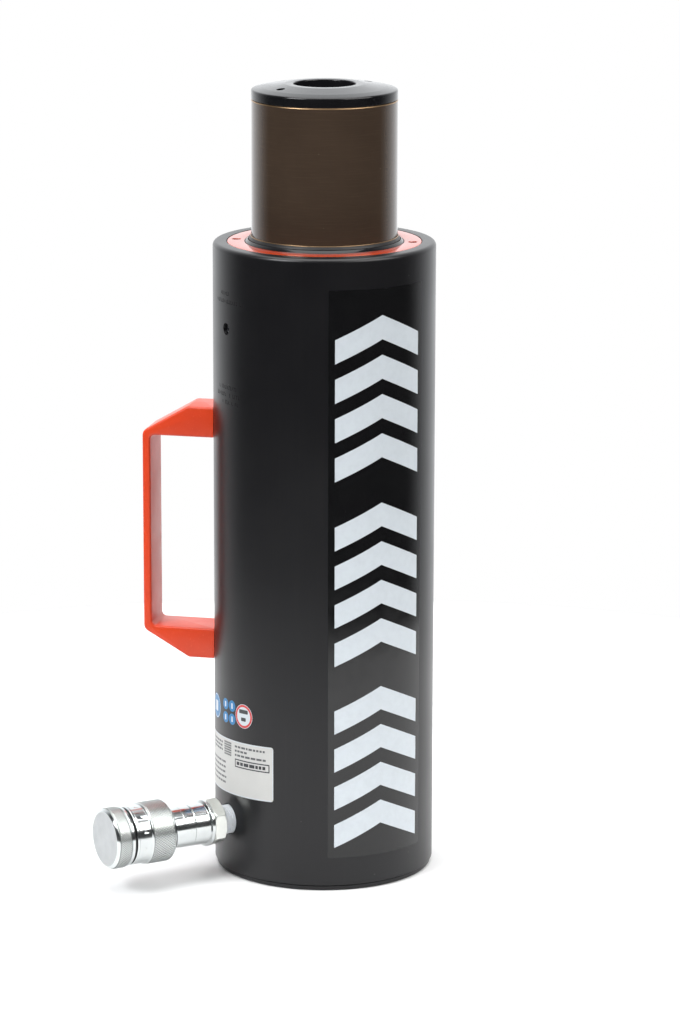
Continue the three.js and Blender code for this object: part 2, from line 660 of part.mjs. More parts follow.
// ---------------------------------------------------------------- quick coupler
// Its pieces are made along +Z, with z the distance from the barrel's axis, in a group that
// points out of the port.
function nippleGeometry() {
  const hexRadius = HEX.acrossFlats / 2 / Math.cos(Math.PI / 6);
  const hex = bar(hexRadius, HEX.bottom, HEX.top, 6);
  const chamfered = hexRadius - HEX.chamfer;
  const beyond = hexRadius + HEX.spread;
  const cornerCone = turnedSolid([
    [0, HEX.bottom - 1],
    [chamfered, HEX.bottom - 1],
    [chamfered, HEX.bottom],
    [beyond, HEX.bottom + HEX.chamfer],
    [beyond, HEX.top - HEX.chamfer],
    [chamfered, HEX.top],
    [chamfered, HEX.top + 1],
    [0, HEX.top + 1],
  ], COARSE);
  const trimmedHex = toGeometry(toSolid(hex).intersect(toSolid(cornerCone)));
  const insideHex = 2; // how far the stem's straight parts run into the hexagon
  const stem = turned([
    [OIL_WAY_RADIUS, NIPPLE.inner],
    [NIPPLE.threadRadius - NIPPLE.step, NIPPLE.inner],
    [NIPPLE.threadRadius, NIPPLE.inner + NIPPLE.lead],
    [NIPPLE.threadRadius, HEX.bottom + insideHex],
    [NIPPLE.spigotRadius, HEX.top - insideHex],
    [NIPPLE.spigotRadius, NIPPLE.outer],
    [OIL_WAY_RADIUS, NIPPLE.outer],
  ], COARSE);
  const oilWay = bar(OIL_WAY_RADIUS, NIPPLE.inner - BEYOND, NIPPLE.outer + BEYOND, COARSE);
  return cut(join([trimmedHex, stem]), [oilWay]);
}

function couplerBodyGeometry() {
  const flange = HEX.top + GAP;
  return turned([
    [NIPPLE.spigotRadius + GAP, flange],
    [BODY.flangeRadius, flange],
    [BODY.flangeRadius, flange + BODY.flange],
    [BODY.radius, flange + BODY.flangeSlope],
    [BODY.radius, BODY.mark - BODY.markDepth],
    [BODY.radius - BODY.markDepth, BODY.mark],
    [BODY.radius, BODY.mark + BODY.markDepth],
    [BODY.radius, BODY.shoulder],
    [BODY.frontRadius, BODY.shoulder],
    [BODY.frontRadius, BODY.front - BODY.edge],
    [BODY.frontRadius - BODY.edge, BODY.front],
    [BODY.mouthRadius, BODY.front],
    [BODY.mouthRadius, BODY.mouthFloor],
    [BODY.chamberRadius, BODY.chamberTop],
    [BODY.chamberRadius, BODY.chamberBottom],
    [BODY.passageRadius, BODY.chamberBottom],
    [BODY.passageRadius, BODY.nippleSeat],
    [NIPPLE.spigotRadius + GAP, BODY.nippleSeat],
  ], MEDIUM);
}

function lockSleeveGeometry() {
  return turned([
    [BODY.radius + GAP, SLEEVE.bottom],
    [SLEEVE.knurlRadius - SLEEVE.bottomChamfer, SLEEVE.bottom],
    [SLEEVE.knurlRadius, SLEEVE.bottom + SLEEVE.bottomChamfer],
    [SLEEVE.knurlRadius, SLEEVE.knurlTop],
    [SLEEVE.smoothRadius, SLEEVE.knurlTop + SLEEVE.step],
    [SLEEVE.smoothRadius, SLEEVE.top - SLEEVE.edge],
    [SLEEVE.smoothRadius - SLEEVE.edge, SLEEVE.top],
    [CAP.spigotRadius + GAP, SLEEVE.top],
    [CAP.spigotRadius + GAP, SLEEVE.shoulder],
    [BODY.radius + GAP, SLEEVE.shoulder],
  ], MEDIUM);
}

function dustCapGeometry() {
  return turnedSolid([
    [0, CAP.socketFloor],
    [BODY.frontRadius + GAP, CAP.socketFloor],
    [BODY.frontRadius + GAP, CAP.spigotBottom],
    [CAP.spigotRadius, CAP.spigotBottom],
    [CAP.spigotRadius, CAP.bottom],
    [CAP.radius - CAP.lipInset, CAP.bottom],
    [CAP.radius - CAP.lipInset, CAP.bottom + CAP.lip],
    [CAP.radius, CAP.bottom + CAP.lipTop],
    [CAP.radius, CAP.top - CAP.chamfer],
    [CAP.radius - CAP.chamfer, CAP.top],
    [0, CAP.top],
  ], MEDIUM);
}

function poppetGeometry() {
  const face = BODY.front - POPPET.sunk;
  return turnedSolid([
    [0, POPPET.inner],
    [POPPET.stemRadius, POPPET.inner],
    [POPPET.stemRadius, POPPET.shoulder],
    [POPPET.headRadius, POPPET.shoulder],
    [POPPET.headRadius, POPPET.headTop],
    [POPPET.faceRadius, POPPET.faceBottom],
    [POPPET.faceRadius, face],
    [0, face],
  ], COARSE);
}

// A three-legged guide that holds the poppet's stem and lets the oil past.
function poppetGuideGeometry() {
  const { hubRadius, bottom, top, holeRadius } = GUIDE;
  const hub = bar(hubRadius, bottom, top, HUB);
  const legs = [0, 120, 240].map((turn) => {
    const leg = new THREE.BoxGeometry(GUIDE_LEG.length, GUIDE_LEG.width, top - bottom);
    leg.translate(GUIDE_LEG.middle, 0, (bottom + top) / 2);
    return leg.rotateZ(THREE.MathUtils.degToRad(turn));
  });
  return cut(join([hub, ...legs]), [bar(holeRadius, bottom - BEYOND, top + BEYOND, HUB)]);
}

function addCoupler() {
  const coupler = new THREE.Group();
  coupler.rotation.set(0, Math.PI / 2, THREE.MathUtils.degToRad(PORT_AZIMUTH), 'ZYX');
  coupler.position.z = PORT_HEIGHT;
  assembly.add(coupler);
  const add = (name, geometry, finish) => addPart(name, geometry, finish, coupler);

  add('coupler_nipple', nippleGeometry(), 'zinc');
  const tape = ring(NIPPLE.threadRadius + TAPE.gap, TAPE.radius, TAPE.inner, HEX.bottom - GAP, COARSE);
  add('thread_tape', tape, 'whiteTape');
  add('coupler_body', couplerBodyGeometry(), 'zinc');
  add('poppet_guide', poppetGuideGeometry(), 'steel');
  add('poppet', poppetGeometry(), 'steel');
  const { radius, wire, bottom, top, turns } = POPPET_SPRING;
  add('poppet_spring', coil(radius, wire, bottom, top, turns, POPPET_SPRING_STEPS), 'steel');
  add('lock_sleeve', lockSleeveGeometry(), 'zinc');
  const snapRing = ring(BODY.frontRadius + GAP, SNAP_RING.radius, SNAP_RING.bottom, SNAP_RING.top, COARSE);
  add('sleeve_snap_ring', snapRing, 'steel');
  const capSeal = ring(CAP.spigotRadius + GAP, CAP_SEAL_RADIUS, SLEEVE.top + GAP, CAP.bottom - GAP, COARSE);
  add('dust_cap_seal', capSeal, 'blackRubber');
  add('dust_cap', dustCapGeometry(), 'zinc');
}

// ---------------------------------------------------------------- assembly
addBarrelPieces();
addCentreTube();
addPlungerPieces();
addHandlePieces();
addLabels();
addCoupler();

// The handle and the coupler stand out to one side, so the middle of the bounding box lies off
// the plunger's axis by this much, taken to the nearest whole millimetre.
const bounds = new THREE.Box3().setFromObject(assembly);
const middle = bounds.getCenter(new THREE.Vector3());
assembly.position.set(-Math.round(middle.x), -Math.round(middle.y), 0);

export default assembly;
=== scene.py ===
"""Looks of the hollow-plunger hydraulic cylinder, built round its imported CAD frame. Blender 4.5.

Pieces are drawn in millimetres and stored in metres. Round pieces of the barrel and plunger are
turned round the plunger's axis. The coupler's pieces are turned round its own axis, with z the
distance from the plunger's axis, and then laid along it.
"""

import json
import math
import random

import bmesh
import bpy
import numpy as np
from mathutils import Matrix, Vector


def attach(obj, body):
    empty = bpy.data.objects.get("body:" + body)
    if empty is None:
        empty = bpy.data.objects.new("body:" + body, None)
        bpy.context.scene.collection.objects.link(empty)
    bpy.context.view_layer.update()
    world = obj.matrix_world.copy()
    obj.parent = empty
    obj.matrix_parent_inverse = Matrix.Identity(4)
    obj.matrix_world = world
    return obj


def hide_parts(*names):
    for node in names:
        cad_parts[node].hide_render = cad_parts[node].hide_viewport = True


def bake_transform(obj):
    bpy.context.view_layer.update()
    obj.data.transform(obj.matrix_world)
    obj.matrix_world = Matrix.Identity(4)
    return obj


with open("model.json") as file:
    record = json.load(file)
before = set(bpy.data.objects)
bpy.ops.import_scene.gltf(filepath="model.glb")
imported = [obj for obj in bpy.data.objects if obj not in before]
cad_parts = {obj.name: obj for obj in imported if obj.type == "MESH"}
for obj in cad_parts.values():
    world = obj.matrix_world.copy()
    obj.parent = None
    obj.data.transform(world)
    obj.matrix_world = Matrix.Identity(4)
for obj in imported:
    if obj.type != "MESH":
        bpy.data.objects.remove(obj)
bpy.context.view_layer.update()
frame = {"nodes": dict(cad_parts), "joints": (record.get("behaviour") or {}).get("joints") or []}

MM = 0.001
FINE = 192
SMALL = 96

joints = {joint["name"]: joint for joint in frame["joints"]}
axis_point = Vector(joints["plunger_turn"]["pos_m"])
coupler_point = Vector(joints["sleeve_turn"]["pos_m"])
coupler_axis = Vector(joints["sleeve_turn"]["axis"]).normalized()

# Where the turned pieces stand: round the plunger's axis, or along the coupler's.
UPRIGHT = Matrix.Translation((axis_point.x, axis_point.y, 0))
COUPLER = (
    Matrix.Translation((axis_point.x, axis_point.y, coupler_point.z))
    @ coupler_axis.to_track_quat("Z", "Y").to_matrix().to_4x4()
)
PORT_AZIMUTH = math.degrees(math.atan2(coupler_axis.y, coupler_axis.x)) % 360
HANDLE_AZIMUTH = 180
LABEL_AZIMUTH = 313.25


# ---------- materials
def set_inputs(node, **values):
    """Sets a node's inputs by name, with _ for a space, and gives the node back."""
    for name, value in values.items():
        node.inputs[name.replace("_", " ")].default_value = value
    return node


class Finish:
    """A node material under construction: a Principled shader and helpers that feed it."""

    def __init__(self, name, color, roughness, metallic=0.0, **sockets):
        self.material = bpy.data.materials.new(name)
        self.material.use_nodes = True
        self.nodes = self.material.node_tree.nodes
        self.links = self.material.node_tree.links
        self.color = (*color, 1)
        self.shader = set_inputs(self.nodes["Principled BSDF"], Metallic=metallic,
                                 Roughness=roughness, Base_Color=self.color, **sockets)
        self.roughness = roughness
        self.color_source = None
        self.height_source = None
        self.coords = self.nodes.new("ShaderNodeTexCoord").outputs["Object"]

    def noise(self, scale, detail=3.0, stretch=(1, 1, 1), roughness=0.55):
        """Noise with features about 1/scale metres across, drawn out along an axis by stretch."""
        mapping = set_inputs(self.nodes.new("ShaderNodeMapping"), Scale=stretch)
        self.links.new(self.coords, mapping.inputs["Vector"])
        texture = set_inputs(self.nodes.new("ShaderNodeTexNoise"), Scale=scale, Detail=detail,
                             Roughness=roughness)
        self.links.new(mapping.outputs[0], texture.inputs["Vector"])
        return texture.outputs["Fac"]

    def band(self, source, low, high, to_low=0.0, to_high=1.0):
        """Maps source from low..high to to_low..to_high, clamped."""
        node = set_inputs(self.nodes.new("ShaderNodeMapRange"), From_Min=low, From_Max=high,
                          To_Min=to_low, To_Max=to_high)
        self.links.new(source, node.inputs["Value"])
        return node.outputs["Result"]

    def tint(self, factor, color):
        """Mixes color over what the surface has so far, by factor."""
        node = self.nodes.new("ShaderNodeMix")
        node.data_type = "RGBA"
        self.links.new(factor, node.inputs["Factor"])
        if self.color_source is None:
            node.inputs[6].default_value = self.color
        else:
            self.links.new(self.color_source, node.inputs[6])
        node.inputs[7].default_value = (*color, 1)
        self.color_source = node.outputs[2]
        return self

    def stain(self, source, low, high, color, most=1.0):
        """Mixes in color where source rises from low to high, up to a share of most."""
        return self.tint(self.band(source, low, high, 0.0, most), color)

    def combine(self, operation, first, second):
        """A maths node over an output and another output or a plain number."""
        node = self.nodes.new("ShaderNodeMath")
        node.operation = operation
        self.links.new(first, node.inputs[0])
        if isinstance(second, float):
            node.inputs[1].default_value = second
        else:
            self.links.new(second, node.inputs[1])
        return node.outputs[0]

    def vary_roughness(self, source, spread):
        result = self.band(source, 0.3, 0.7, self.roughness - spread, self.roughness + spread)
        self.links.new(result, self.shader.inputs["Roughness"])
        return self

    def relief(self, source, depth):
        """Adds a height in metres to the surface's bump."""
        height = self.combine("MULTIPLY", source, depth)
        if self.height_source is not None:
            height = self.combine("ADD", self.height_source, height)
        self.height_source = height
        return self

    def specks(self, scale, size, color):
        """Sparse dots, such as dust: one in a few cells of a grid 1/scale metres wide."""
        voronoi = set_inputs(self.nodes.new("ShaderNodeTexVoronoi"), Scale=scale)
        self.links.new(self.coords, voronoi.inputs["Vector"])
        dots = self.band(voronoi.outputs["Distance"], size, size * 0.6)
        chosen = self.band(self.noise(scale * 0.3, 1), 0.62, 0.64)
        return self.tint(self.combine("MULTIPLY", dots, chosen), color)

    def done(self):
        if self.color_source is not None:
            self.links.new(self.color_source, self.shader.inputs["Base Color"])
        if self.height_source is not None:
            bump = set_inputs(self.nodes.new("ShaderNodeBump"), Distance=1.0)
            self.links.new(self.height_source, bump.inputs["Height"])
            self.links.new(bump.outputs["Normal"], self.shader.inputs["Normal"])
        return self.material


def shade(color, factor):
    return tuple(channel * factor for channel in color)


def turned_finish(name, color, roughness):
    """A machined metal: fine rings round the piece's own z axis, and a faint cloudiness."""
    made = Finish(name, color, roughness, 1.0)
    rings = made.noise(1500, 2, (0.04, 0.04, 1))
    clouds = made.noise(45, 4)
    made.stain(clouds, 0.35, 0.75, shade(color, 0.8), 0.5)
    made.stain(rings, 0.4, 0.7, shade(color, 1.12), 0.35)
    return made.vary_roughness(clouds, 0.05).relief(rings, 3e-7).done()


def anodised_black():
    made = Finish("black_anodised", (0.0042, 0.0040, 0.0052), 0.33, Specular_IOR_Level=0.42)
    clouds = made.noise(14, 5)
    grain = made.noise(2600, 3)
    drawn = made.noise(900, 2, (1, 1, 0.02))
    made.stain(clouds, 0.35, 0.7, (0.0056, 0.0053, 0.0064))
    made.stain(drawn, 0.5, 0.75, (0.0075, 0.0072, 0.0082), 0.5)
    made.specks(170, 0.07, (0.06, 0.06, 0.06))
    return made.vary_roughness(clouds, 0.035).relief(grain, 2.5e-6).relief(drawn, 1.0e-6).done()


def anodised_bronze():
    made = Finish("bronze_anodised", (0.050, 0.033, 0.022), 0.08, 0.10, Specular_IOR_Level=0.75)
    clouds = made.noise(22, 5)
    rings = made.noise(1800, 3, (0.03, 0.03, 1))
    drawn = made.noise(260, 3, (1, 1, 0.05))
    grain = made.noise(3000, 2)
    made.stain(clouds, 0.35, 0.7, (0.068, 0.045, 0.030), 0.7)
    made.stain(drawn, 0.45, 0.75, (0.052, 0.035, 0.024), 0.4)
    made.stain(rings, 0.5, 0.75, (0.080, 0.054, 0.037), 0.35)
    made.specks(240, 0.06, (0.17, 0.14, 0.11))
    return made.vary_roughness(clouds, 0.04).relief(rings, 3e-7).relief(grain, 5e-7).done()


def blackened_steel():
    made = Finish("blackened_steel", (0.0060, 0.0060, 0.0070), 0.17, Specular_IOR_Level=0.35)
    clouds = made.noise(60, 4)
    rings = made.noise(1300, 3, (0.05, 0.05, 1))
    made.stain(clouds, 0.4, 0.7, (0.009, 0.009, 0.010))
    made.specks(320, 0.07, (0.14, 0.14, 0.14))
    made.vary_roughness(clouds, 0.05)
    return made.relief(rings, 2e-7).relief(made.noise(2400, 2), 5e-7).done()


def orange_handle():
    made = Finish("orange_handle", (0.76, 0.060, 0.014), 0.36, Specular_IOR_Level=0.45)
    clouds = made.noise(55, 4)
    peel = made.noise(1500, 3)
    made.stain(clouds, 0.35, 0.7, (0.70, 0.050, 0.011), 0.6)
    made.stain(made.noise(700, 2), 0.62, 0.72, (0.90, 0.16, 0.06), 0.25)
    return made.vary_roughness(clouds, 0.05).relief(peel, 6e-6).done()


def orange_anodised():
    made = Finish("orange_anodised", (0.44, 0.036, 0.003), 0.09, Specular_IOR_Level=0.9,
                  Coat_Weight=0.1)
    rings = made.noise(1700, 3, (1, 1, 0.1))
    clouds = made.noise(70, 3)
    made.stain(clouds, 0.4, 0.7, (0.39, 0.030, 0.002), 0.5)
    return made.vary_roughness(clouds, 0.03).relief(rings, 3e-7).done()


def zinc_plate(name, color, roughness, grain=6e-7):
    made = Finish(name, color, roughness, 1.0)
    clouds = made.noise(160, 4)
    stains = made.noise(420, 4)
    made.stain(clouds, 0.35, 0.7, shade(color, 0.88), 0.5)
    made.stain(stains, 0.58, 0.72, (0.62, 0.60, 0.54), 0.3)
    return made.vary_roughness(clouds, 0.03).relief(made.noise(2600, 3), grain).done()


def black_rubber():
    made = Finish("black_rubber", (0.008, 0.008, 0.009), 0.42, Specular_IOR_Level=0.4)
    made.stain(made.noise(240, 4), 0.4, 0.7, (0.013, 0.013, 0.013))
    return made.vary_roughness(made.noise(500, 3), 0.06).relief(made.noise(2500, 3), 4e-6).done()


def sealing_tape():
    made = Finish("sealing_tape", (0.80, 0.82, 0.84), 0.5, Subsurface_Weight=0.15)
    fibres = made.noise(900, 4, (1, 1, 5))
    return made.stain(fibres, 0.45, 0.7, (0.62, 0.65, 0.68), 0.6).relief(fibres, 2e-5).done()


def grey_polymer():
    made = Finish("grey_polymer", (0.085, 0.09, 0.095), 0.55)
    made.stain(made.noise(300, 4), 0.4, 0.7, (0.11, 0.115, 0.12))
    return made.relief(made.noise(1800, 3), 4e-6).done()


def label_film():
    made = Finish("label_film", (0.0045, 0.0045, 0.005), 0.13, Specular_IOR_Level=0.5)
    ripples = made.noise(28, 2)
    made.stain(made.noise(120, 4), 0.4, 0.7, (0.006, 0.006, 0.0065))
    made.specks(260, 0.05, (0.12, 0.12, 0.12))
    made.vary_roughness(made.noise(90, 3), 0.03)
    return made.relief(ripples, 2.0e-5).relief(made.noise(2600, 2), 6e-7).done()


def print_ink(name, color, roughness=0.35):
    """Printed vinyl: slightly uneven ink with a fine grain."""
    made = Finish(name, color, roughness)
    made.stain(made.noise(260, 4), 0.4, 0.75, shade(color, 0.90), 0.6)
    return made.vary_roughness(made.noise(500, 2), 0.04).relief(made.noise(2400, 2), 1.2e-6).done()


def nameplate_foil():
    color = (0.60, 0.60, 0.58)
    made = Finish("nameplate_foil", color, 0.42)
    brushed = made.noise(500, 3, (1, 1, 18))
    made.stain(made.noise(60, 3), 0.35, 0.7, shade(color, 0.92), 0.6)
    made.stain(brushed, 0.45, 0.75, shade(color, 1.1), 0.3)
    return made.vary_roughness(brushed, 0.04).relief(brushed, 1.5e-6).done()


# Each finish: its material, and the record's material slot that it stands for. Inks have none, and
# nor has the second finish of a piece.
FINISHES = {
    "black": (anodised_black(), "black_anodised_aluminium"),
    "bronze_brown": (anodised_bronze(), "bronze_anodised_aluminium"),
    "blackened": (blackened_steel(), "blackened_steel"),
    "handle": (orange_handle(), "orange_coat"),
    "orange_ring": (orange_anodised(), "orange_anodised_aluminium"),
    "zinc": (zinc_plate("zinc_plate", (0.66, 0.69, 0.69), 0.16), "zinc_plate"),
    "zinc_knurl": (zinc_plate("zinc_knurl", (0.66, 0.69, 0.68), 0.19), "zinc_plate"),
    # Painted shade: a darker, rougher zinc for the knurl's grooves.
    "zinc_groove_painted_shade": (zinc_plate("zinc_groove_painted_shade", (0.30, 0.32, 0.31), 0.40), None),
    "zinc_face": (zinc_plate("zinc_face", (0.50, 0.52, 0.53), 0.45, 2e-6), "zinc_plate"),
    "zinc_hex": (zinc_plate("zinc_hex", (0.80, 0.82, 0.78), 0.30), "zinc_plate"),
    "steel": (turned_finish("plain_steel", (0.42, 0.43, 0.45), 0.32), "plain_steel"),
    "spring_steel": (turned_finish("spring_steel", (0.20, 0.20, 0.21), 0.36), "plain_steel"),
    "bearing": (turned_finish("bearing_bronze", (0.45, 0.27, 0.11), 0.36), "bearing_bronze"),
    "rubber": (black_rubber(), "black_rubber"),
    "tape": (sealing_tape(), "white_sealing_tape"),
    "polymer": (grey_polymer(), "grey_polymer"),
    "film": (label_film(), "black_label_film"),
    "foil": (nameplate_foil(), "silver_nameplate_foil"),
    "white_ink": (print_ink("white_ink", (0.62, 0.67, 0.71)), None),
    "dark_ink": (print_ink("dark_ink", (0.030, 0.032, 0.036)), None),
    "grey_ink": (print_ink("grey_ink", (0.095, 0.10, 0.105)), None),
    "blue_ink": (print_ink("blue_ink", (0.004, 0.19, 0.46)), None),
    "red_ink": (print_ink("red_ink", (0.62, 0.035, 0.035)), None),
    "stamp": (print_ink("stamped_mark", (0.0022, 0.0022, 0.0024), 0.9), None),
    # Painted highlight: a bright bronze for the plunger's top chamfer and the wiper's lip.
    "bronze_painted_highlight": (turned_finish("bronze_painted_highlight", (0.34, 0.22, 0.12), 0.34), None),
}


# ---------- mesh helpers
def add_object(name, data):
    piece = bpy.data.objects.new(name, data)
    bpy.context.scene.collection.objects.link(piece)
    return piece


def signed_volume(vertices, faces):
    total = 0.0
    for face in faces:
        first = vertices[face[0]]
        for second, third in zip(face[1:], face[2:]):
            total += np.dot(first, np.cross(vertices[second], vertices[third]))
    return total


def mesh_object(name, vertices, faces, finish, place=UPRIGHT, sharp=32):
    """A smooth-shaded object of points in mm in its own frame, its faces turned to point out."""
    points = np.asarray(vertices, float)
    faces = [tuple(face) for face in faces]
    if signed_volume(points, faces) < 0:
        faces = [face[::-1] for face in faces]
    mesh = bpy.data.meshes.new(name)
    mesh.from_pydata((points * MM).tolist(), [], faces)
    mesh.update()
    mesh.materials.append(FINISHES[finish][0])
    piece = add_object(name, mesh)
    if place is COUPLER:
        mesh.transform(place)  # the coupler lies askew, and this keeps its pieces' boxes tight
    else:
        piece.matrix_world = place
    smooth(piece, sharp)
    return piece


def smooth(piece, sharp=32):
    piece.data.shade_smooth()
    piece.data.set_sharp_from_angle(angle=math.radians(sharp))


def fit(piece, finish, node=None, body="barrel_unit"):
    """Puts a finished piece on its body, in place of the CAD node it stands for, if any."""
    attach(piece, body)
    if node:
        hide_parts(node)


def rounded(corners, steps=5):
    """Points of a closed outline whose corners (r, z, radius) are rounded by true arcs."""
    points = []
    count = len(corners)
    for i, corner in enumerate(corners):
        here = np.array(corner[:2], float)
        radius = corner[2] if len(corner) > 2 else 0
        if radius <= 0:
            points.append(here)
            continue
        to_last = np.array(corners[i - 1][:2], float) - here
        to_next = np.array(corners[(i + 1) % count][:2], float) - here
        to_last /= np.linalg.norm(to_last)
        to_next /= np.linalg.norm(to_next)
        half = math.acos(np.clip(to_last @ to_next, -1, 1)) / 2
        inward = (to_last + to_next) / np.linalg.norm(to_last + to_next)
        centre = here + inward * radius / math.sin(half)
        first = here + to_last * radius / math.tan(half) - centre
        last = here + to_next * radius / math.tan(half) - centre
        sweep = math.atan2(first[0] * last[1] - first[1] * last[0], first @ last)
        for k in range(steps + 1):
            angle = sweep * k / steps
            c, s = math.cos(angle), math.sin(angle)
            points.append(centre + (first[0] * c - first[1] * s, first[0] * s + first[1] * c))
    return [tuple(point) for point in points]


ON_AXIS = 1e-6


def turn(name, corners, finish, segments=FINE, place=UPRIGHT, steps=5, sharp=32, rows=()):
    """A closed outline of (r, z, rounding) turned round z. rows adds (low, high, count) stations
    to the outline's long upright edges, so that drilled holes don't disturb the shading."""
    outline = rounded(corners, steps)
    if rows:
        outline = with_rows(outline, rows)
    angles = np.arange(segments) * 2 * math.pi / segments
    cosines, sines = np.cos(angles), np.sin(angles)
    vertices, ids = [], []
    for r, z in outline:
        if r < ON_AXIS:
            ids += [len(vertices)] * segments
            vertices.append((0, 0, z))
        else:
            ids += range(len(vertices), len(vertices) + segments)
            vertices.extend(zip(r * cosines, r * sines, [z] * segments))
    faces = []
    for quad in loop_faces(len(outline), segments, closed=True):
        face = list(dict.fromkeys(ids[k] for k in quad))
        if len(face) > 2:
            faces.append(face)
    return mesh_object(name, vertices, faces, finish, place, sharp)


LONG_EDGE = 20


def with_rows(outline, rows):
    """Splits the outline's long upright edges at the asked heights."""
    result = []
    for i, start in enumerate(outline):
        end = outline[(i + 1) % len(outline)]
        result.append(start)
        low, high = sorted((start[1], end[1]))
        if high - low < LONG_EDGE:
            continue
        heights = sorted({h for a, b, n in rows for h in np.linspace(a, b, n) if low < h < high})
        if end[1] < start[1]:
            heights.reverse()
        for height in heights:
            share = (height - start[1]) / (end[1] - start[1])
            result.append((start[0] + share * (end[0] - start[0]), height))
    return result


def loop_faces(rows, columns, closed):
    """Faces between neighbouring rows of points, each row a loop. closed joins last and first."""
    faces = []
    for i in range(rows if closed else rows - 1):
        j = (i + 1) % rows
        for k in range(columns):
            m = (k + 1) % columns
            faces.append((i * columns + k, i * columns + m, j * columns + m, j * columns + k))
    return faces


def textured_band(name, radius_at, z_values, inner, finish, segments, place, sharp=60):
    """A turned band whose outer radius is radius_at(angles, z), closed by an inner sleeve."""
    angles = np.arange(segments) * 2 * math.pi / segments
    rows = [(radius_at(angles, z), z) for z in z_values]
    rows += [(np.full(segments, inner), z_values[-1]), (np.full(segments, inner), z_values[0])]
    vertices = []
    for radii, z in rows:
        vertices.extend(zip(radii * np.cos(angles), radii * np.sin(angles), [z] * segments))
    faces = loop_faces(len(rows), segments, closed=True)
    return mesh_object(name, vertices, faces, finish, place, sharp)


def turned_piece(name, node, corners, finish, *shape, body="barrel_unit", **options):
    """A turned piece put straight on its body, in place of the CAD node if one is named."""
    fit(turn(name, corners, finish, *shape, **options), finish, node, body)


def cutter(corners, place, segments=32):
    """A turned solid used to cut holes: its outline starts and ends on the axis."""
    return turn("cutter", corners, "steel", segments, place)


def cut(piece, cutters, finish, sharp=32):
    """Takes the cutters out of the piece, then removes them."""
    for tool in cutters:
        modifier = piece.modifiers.new("cut", "BOOLEAN")
        modifier.operation = "DIFFERENCE"
        modifier.solver = "EXACT"
        modifier.object = tool
    bpy.context.view_layer.update()
    depsgraph = bpy.context.evaluated_depsgraph_get()
    mesh = bpy.data.meshes.new_from_object(piece.evaluated_get(depsgraph))
    piece.modifiers.clear()
    piece.data = mesh
    mesh.materials.clear()
    mesh.materials.append(FINISHES[finish][0])
    for polygon in mesh.polygons:
        polygon.material_index = 0
    for tool in cutters:
        bpy.data.objects.remove(tool)
    smooth(piece, sharp)


def at(azimuth, radius=0.0, height=0.0):
    """A place round the plunger's axis, its z still up."""
    angle = math.radians(azimuth)
    shift = Vector((radius * math.cos(angle), radius * math.sin(angle), height)) * MM
    return Matrix.Translation(shift) @ UPRIGHT


def outward(azimuth, height):
    """A frame whose z points straight out of the barrel, starting on the plunger's axis."""
    angle = math.radians(azimuth)
    direction = Vector((math.cos(angle), math.sin(angle), 0))
    turned = direction.to_track_quat("Z", "Y").to_matrix().to_4x4()
    return Matrix.Translation((axis_point.x, axis_point.y, height * MM)) @ turned


def node_ring(node, along=UPRIGHT):
    """(inner radius, outer radius, lowest z, highest z) of a CAD ring in its own frame, in mm."""
    inverse = along.inverted()
    points = np.array([inverse @ v.co for v in frame["nodes"][node].data.vertices]) / MM
    radii = np.hypot(points[:, 0], points[:, 1])
    return radii.min(), radii.max(), points[:, 2].min(), points[:, 2].max()


# ---------- barrel group
BARREL_RADIUS = 65
BARREL_BORE = 46
BARREL_BOTTOM = 3.3
BARREL_TOP = 375.7
MOUTH_RADIUS = 56.9
MOUTH_FLOOR = 338
TUBE_HOLE = 22.3
TUBE_TOP = 356
PLUG_RADIUS = 45.7
SLIDE_RADIUS = 42.8
RING_BOTTOM = 350.3
STUD_HOLE = 4.3
CUTTER_END = 70
HANDLE_MIDDLE = 199.5
ARM_HEIGHT = 18.2
ARM_MIDDLES = (HANDLE_MIDDLE + 67.2, HANDLE_MIDDLE - 67.2)
PORT_HEIGHT = 34
BREATHER_HEIGHT = 329.2


def build_barrel():
    near_holes = [(16, 52, 7), (122, 142, 3), (256, 278, 3), (321, 337, 5)]
    body = turn("barrel_body", [
        (BARREL_BORE, BARREL_BOTTOM, 0.3), (BARREL_RADIUS, BARREL_BOTTOM, 0.5),
        (BARREL_RADIUS, BARREL_TOP, 2.6), (MOUTH_RADIUS, BARREL_TOP, 0.25),
        (MOUTH_RADIUS, MOUTH_FLOOR), (BARREL_BORE, MOUTH_FLOOR),
    ], "black", segments=256, steps=8, rows=near_holes)
    end = CUTTER_END
    port = cutter([(0, 44), (3, 44), (3, 52), (9, 52), (9, 64.2), (9.8, 66), (9.8, end), (0, end)],
                  outward(PORT_AZIMUTH, PORT_HEIGHT), 64)
    breather = cutter([(0, 44), (3, 44), (3, 63.9), (3.5, 64.7), (3.5, end), (0, end)],
                      outward(PORT_AZIMUTH, BREATHER_HEIGHT), 48)
    stud_hole = [(0, 50.7), (STUD_HOLE, 50.7), (STUD_HOLE, end), (0, end)]
    studs = [cutter(stud_hole, outward(HANDLE_AZIMUTH, height)) for height in ARM_MIDDLES]
    cut(body, [port, breather, *studs], "black")
    fit(body, "black", "barrel")


def build_base_plate():
    body = turn("base_plate_body", [
        (TUBE_HOLE, 0, 0.5), (64, 0, 1.2), (64, 3, 0.4), (PLUG_RADIUS, 3),
        (PLUG_RADIUS, 19), (42.7, 19), (42.7, 23), (PLUG_RADIUS, 23),
        (PLUG_RADIUS, 29.4, 0.6), (TUBE_HOLE, 29.4, 0.4),
        (TUBE_HOLE, 16), (24.9, 16), (24.9, 13), (TUBE_HOLE, 13),
    ], "black")
    spanner_hole = [(0, -1), (3.5, -1), (3.5, 0), (3, 0.5), (3, 8), (0, 9.5)]
    holes = [cutter(spanner_hole, at(HANDLE_AZIMUTH + turned, 34)) for turned in (0, 180)]
    cut(body, holes, "black")
    fit(body, "black", "base_plate")


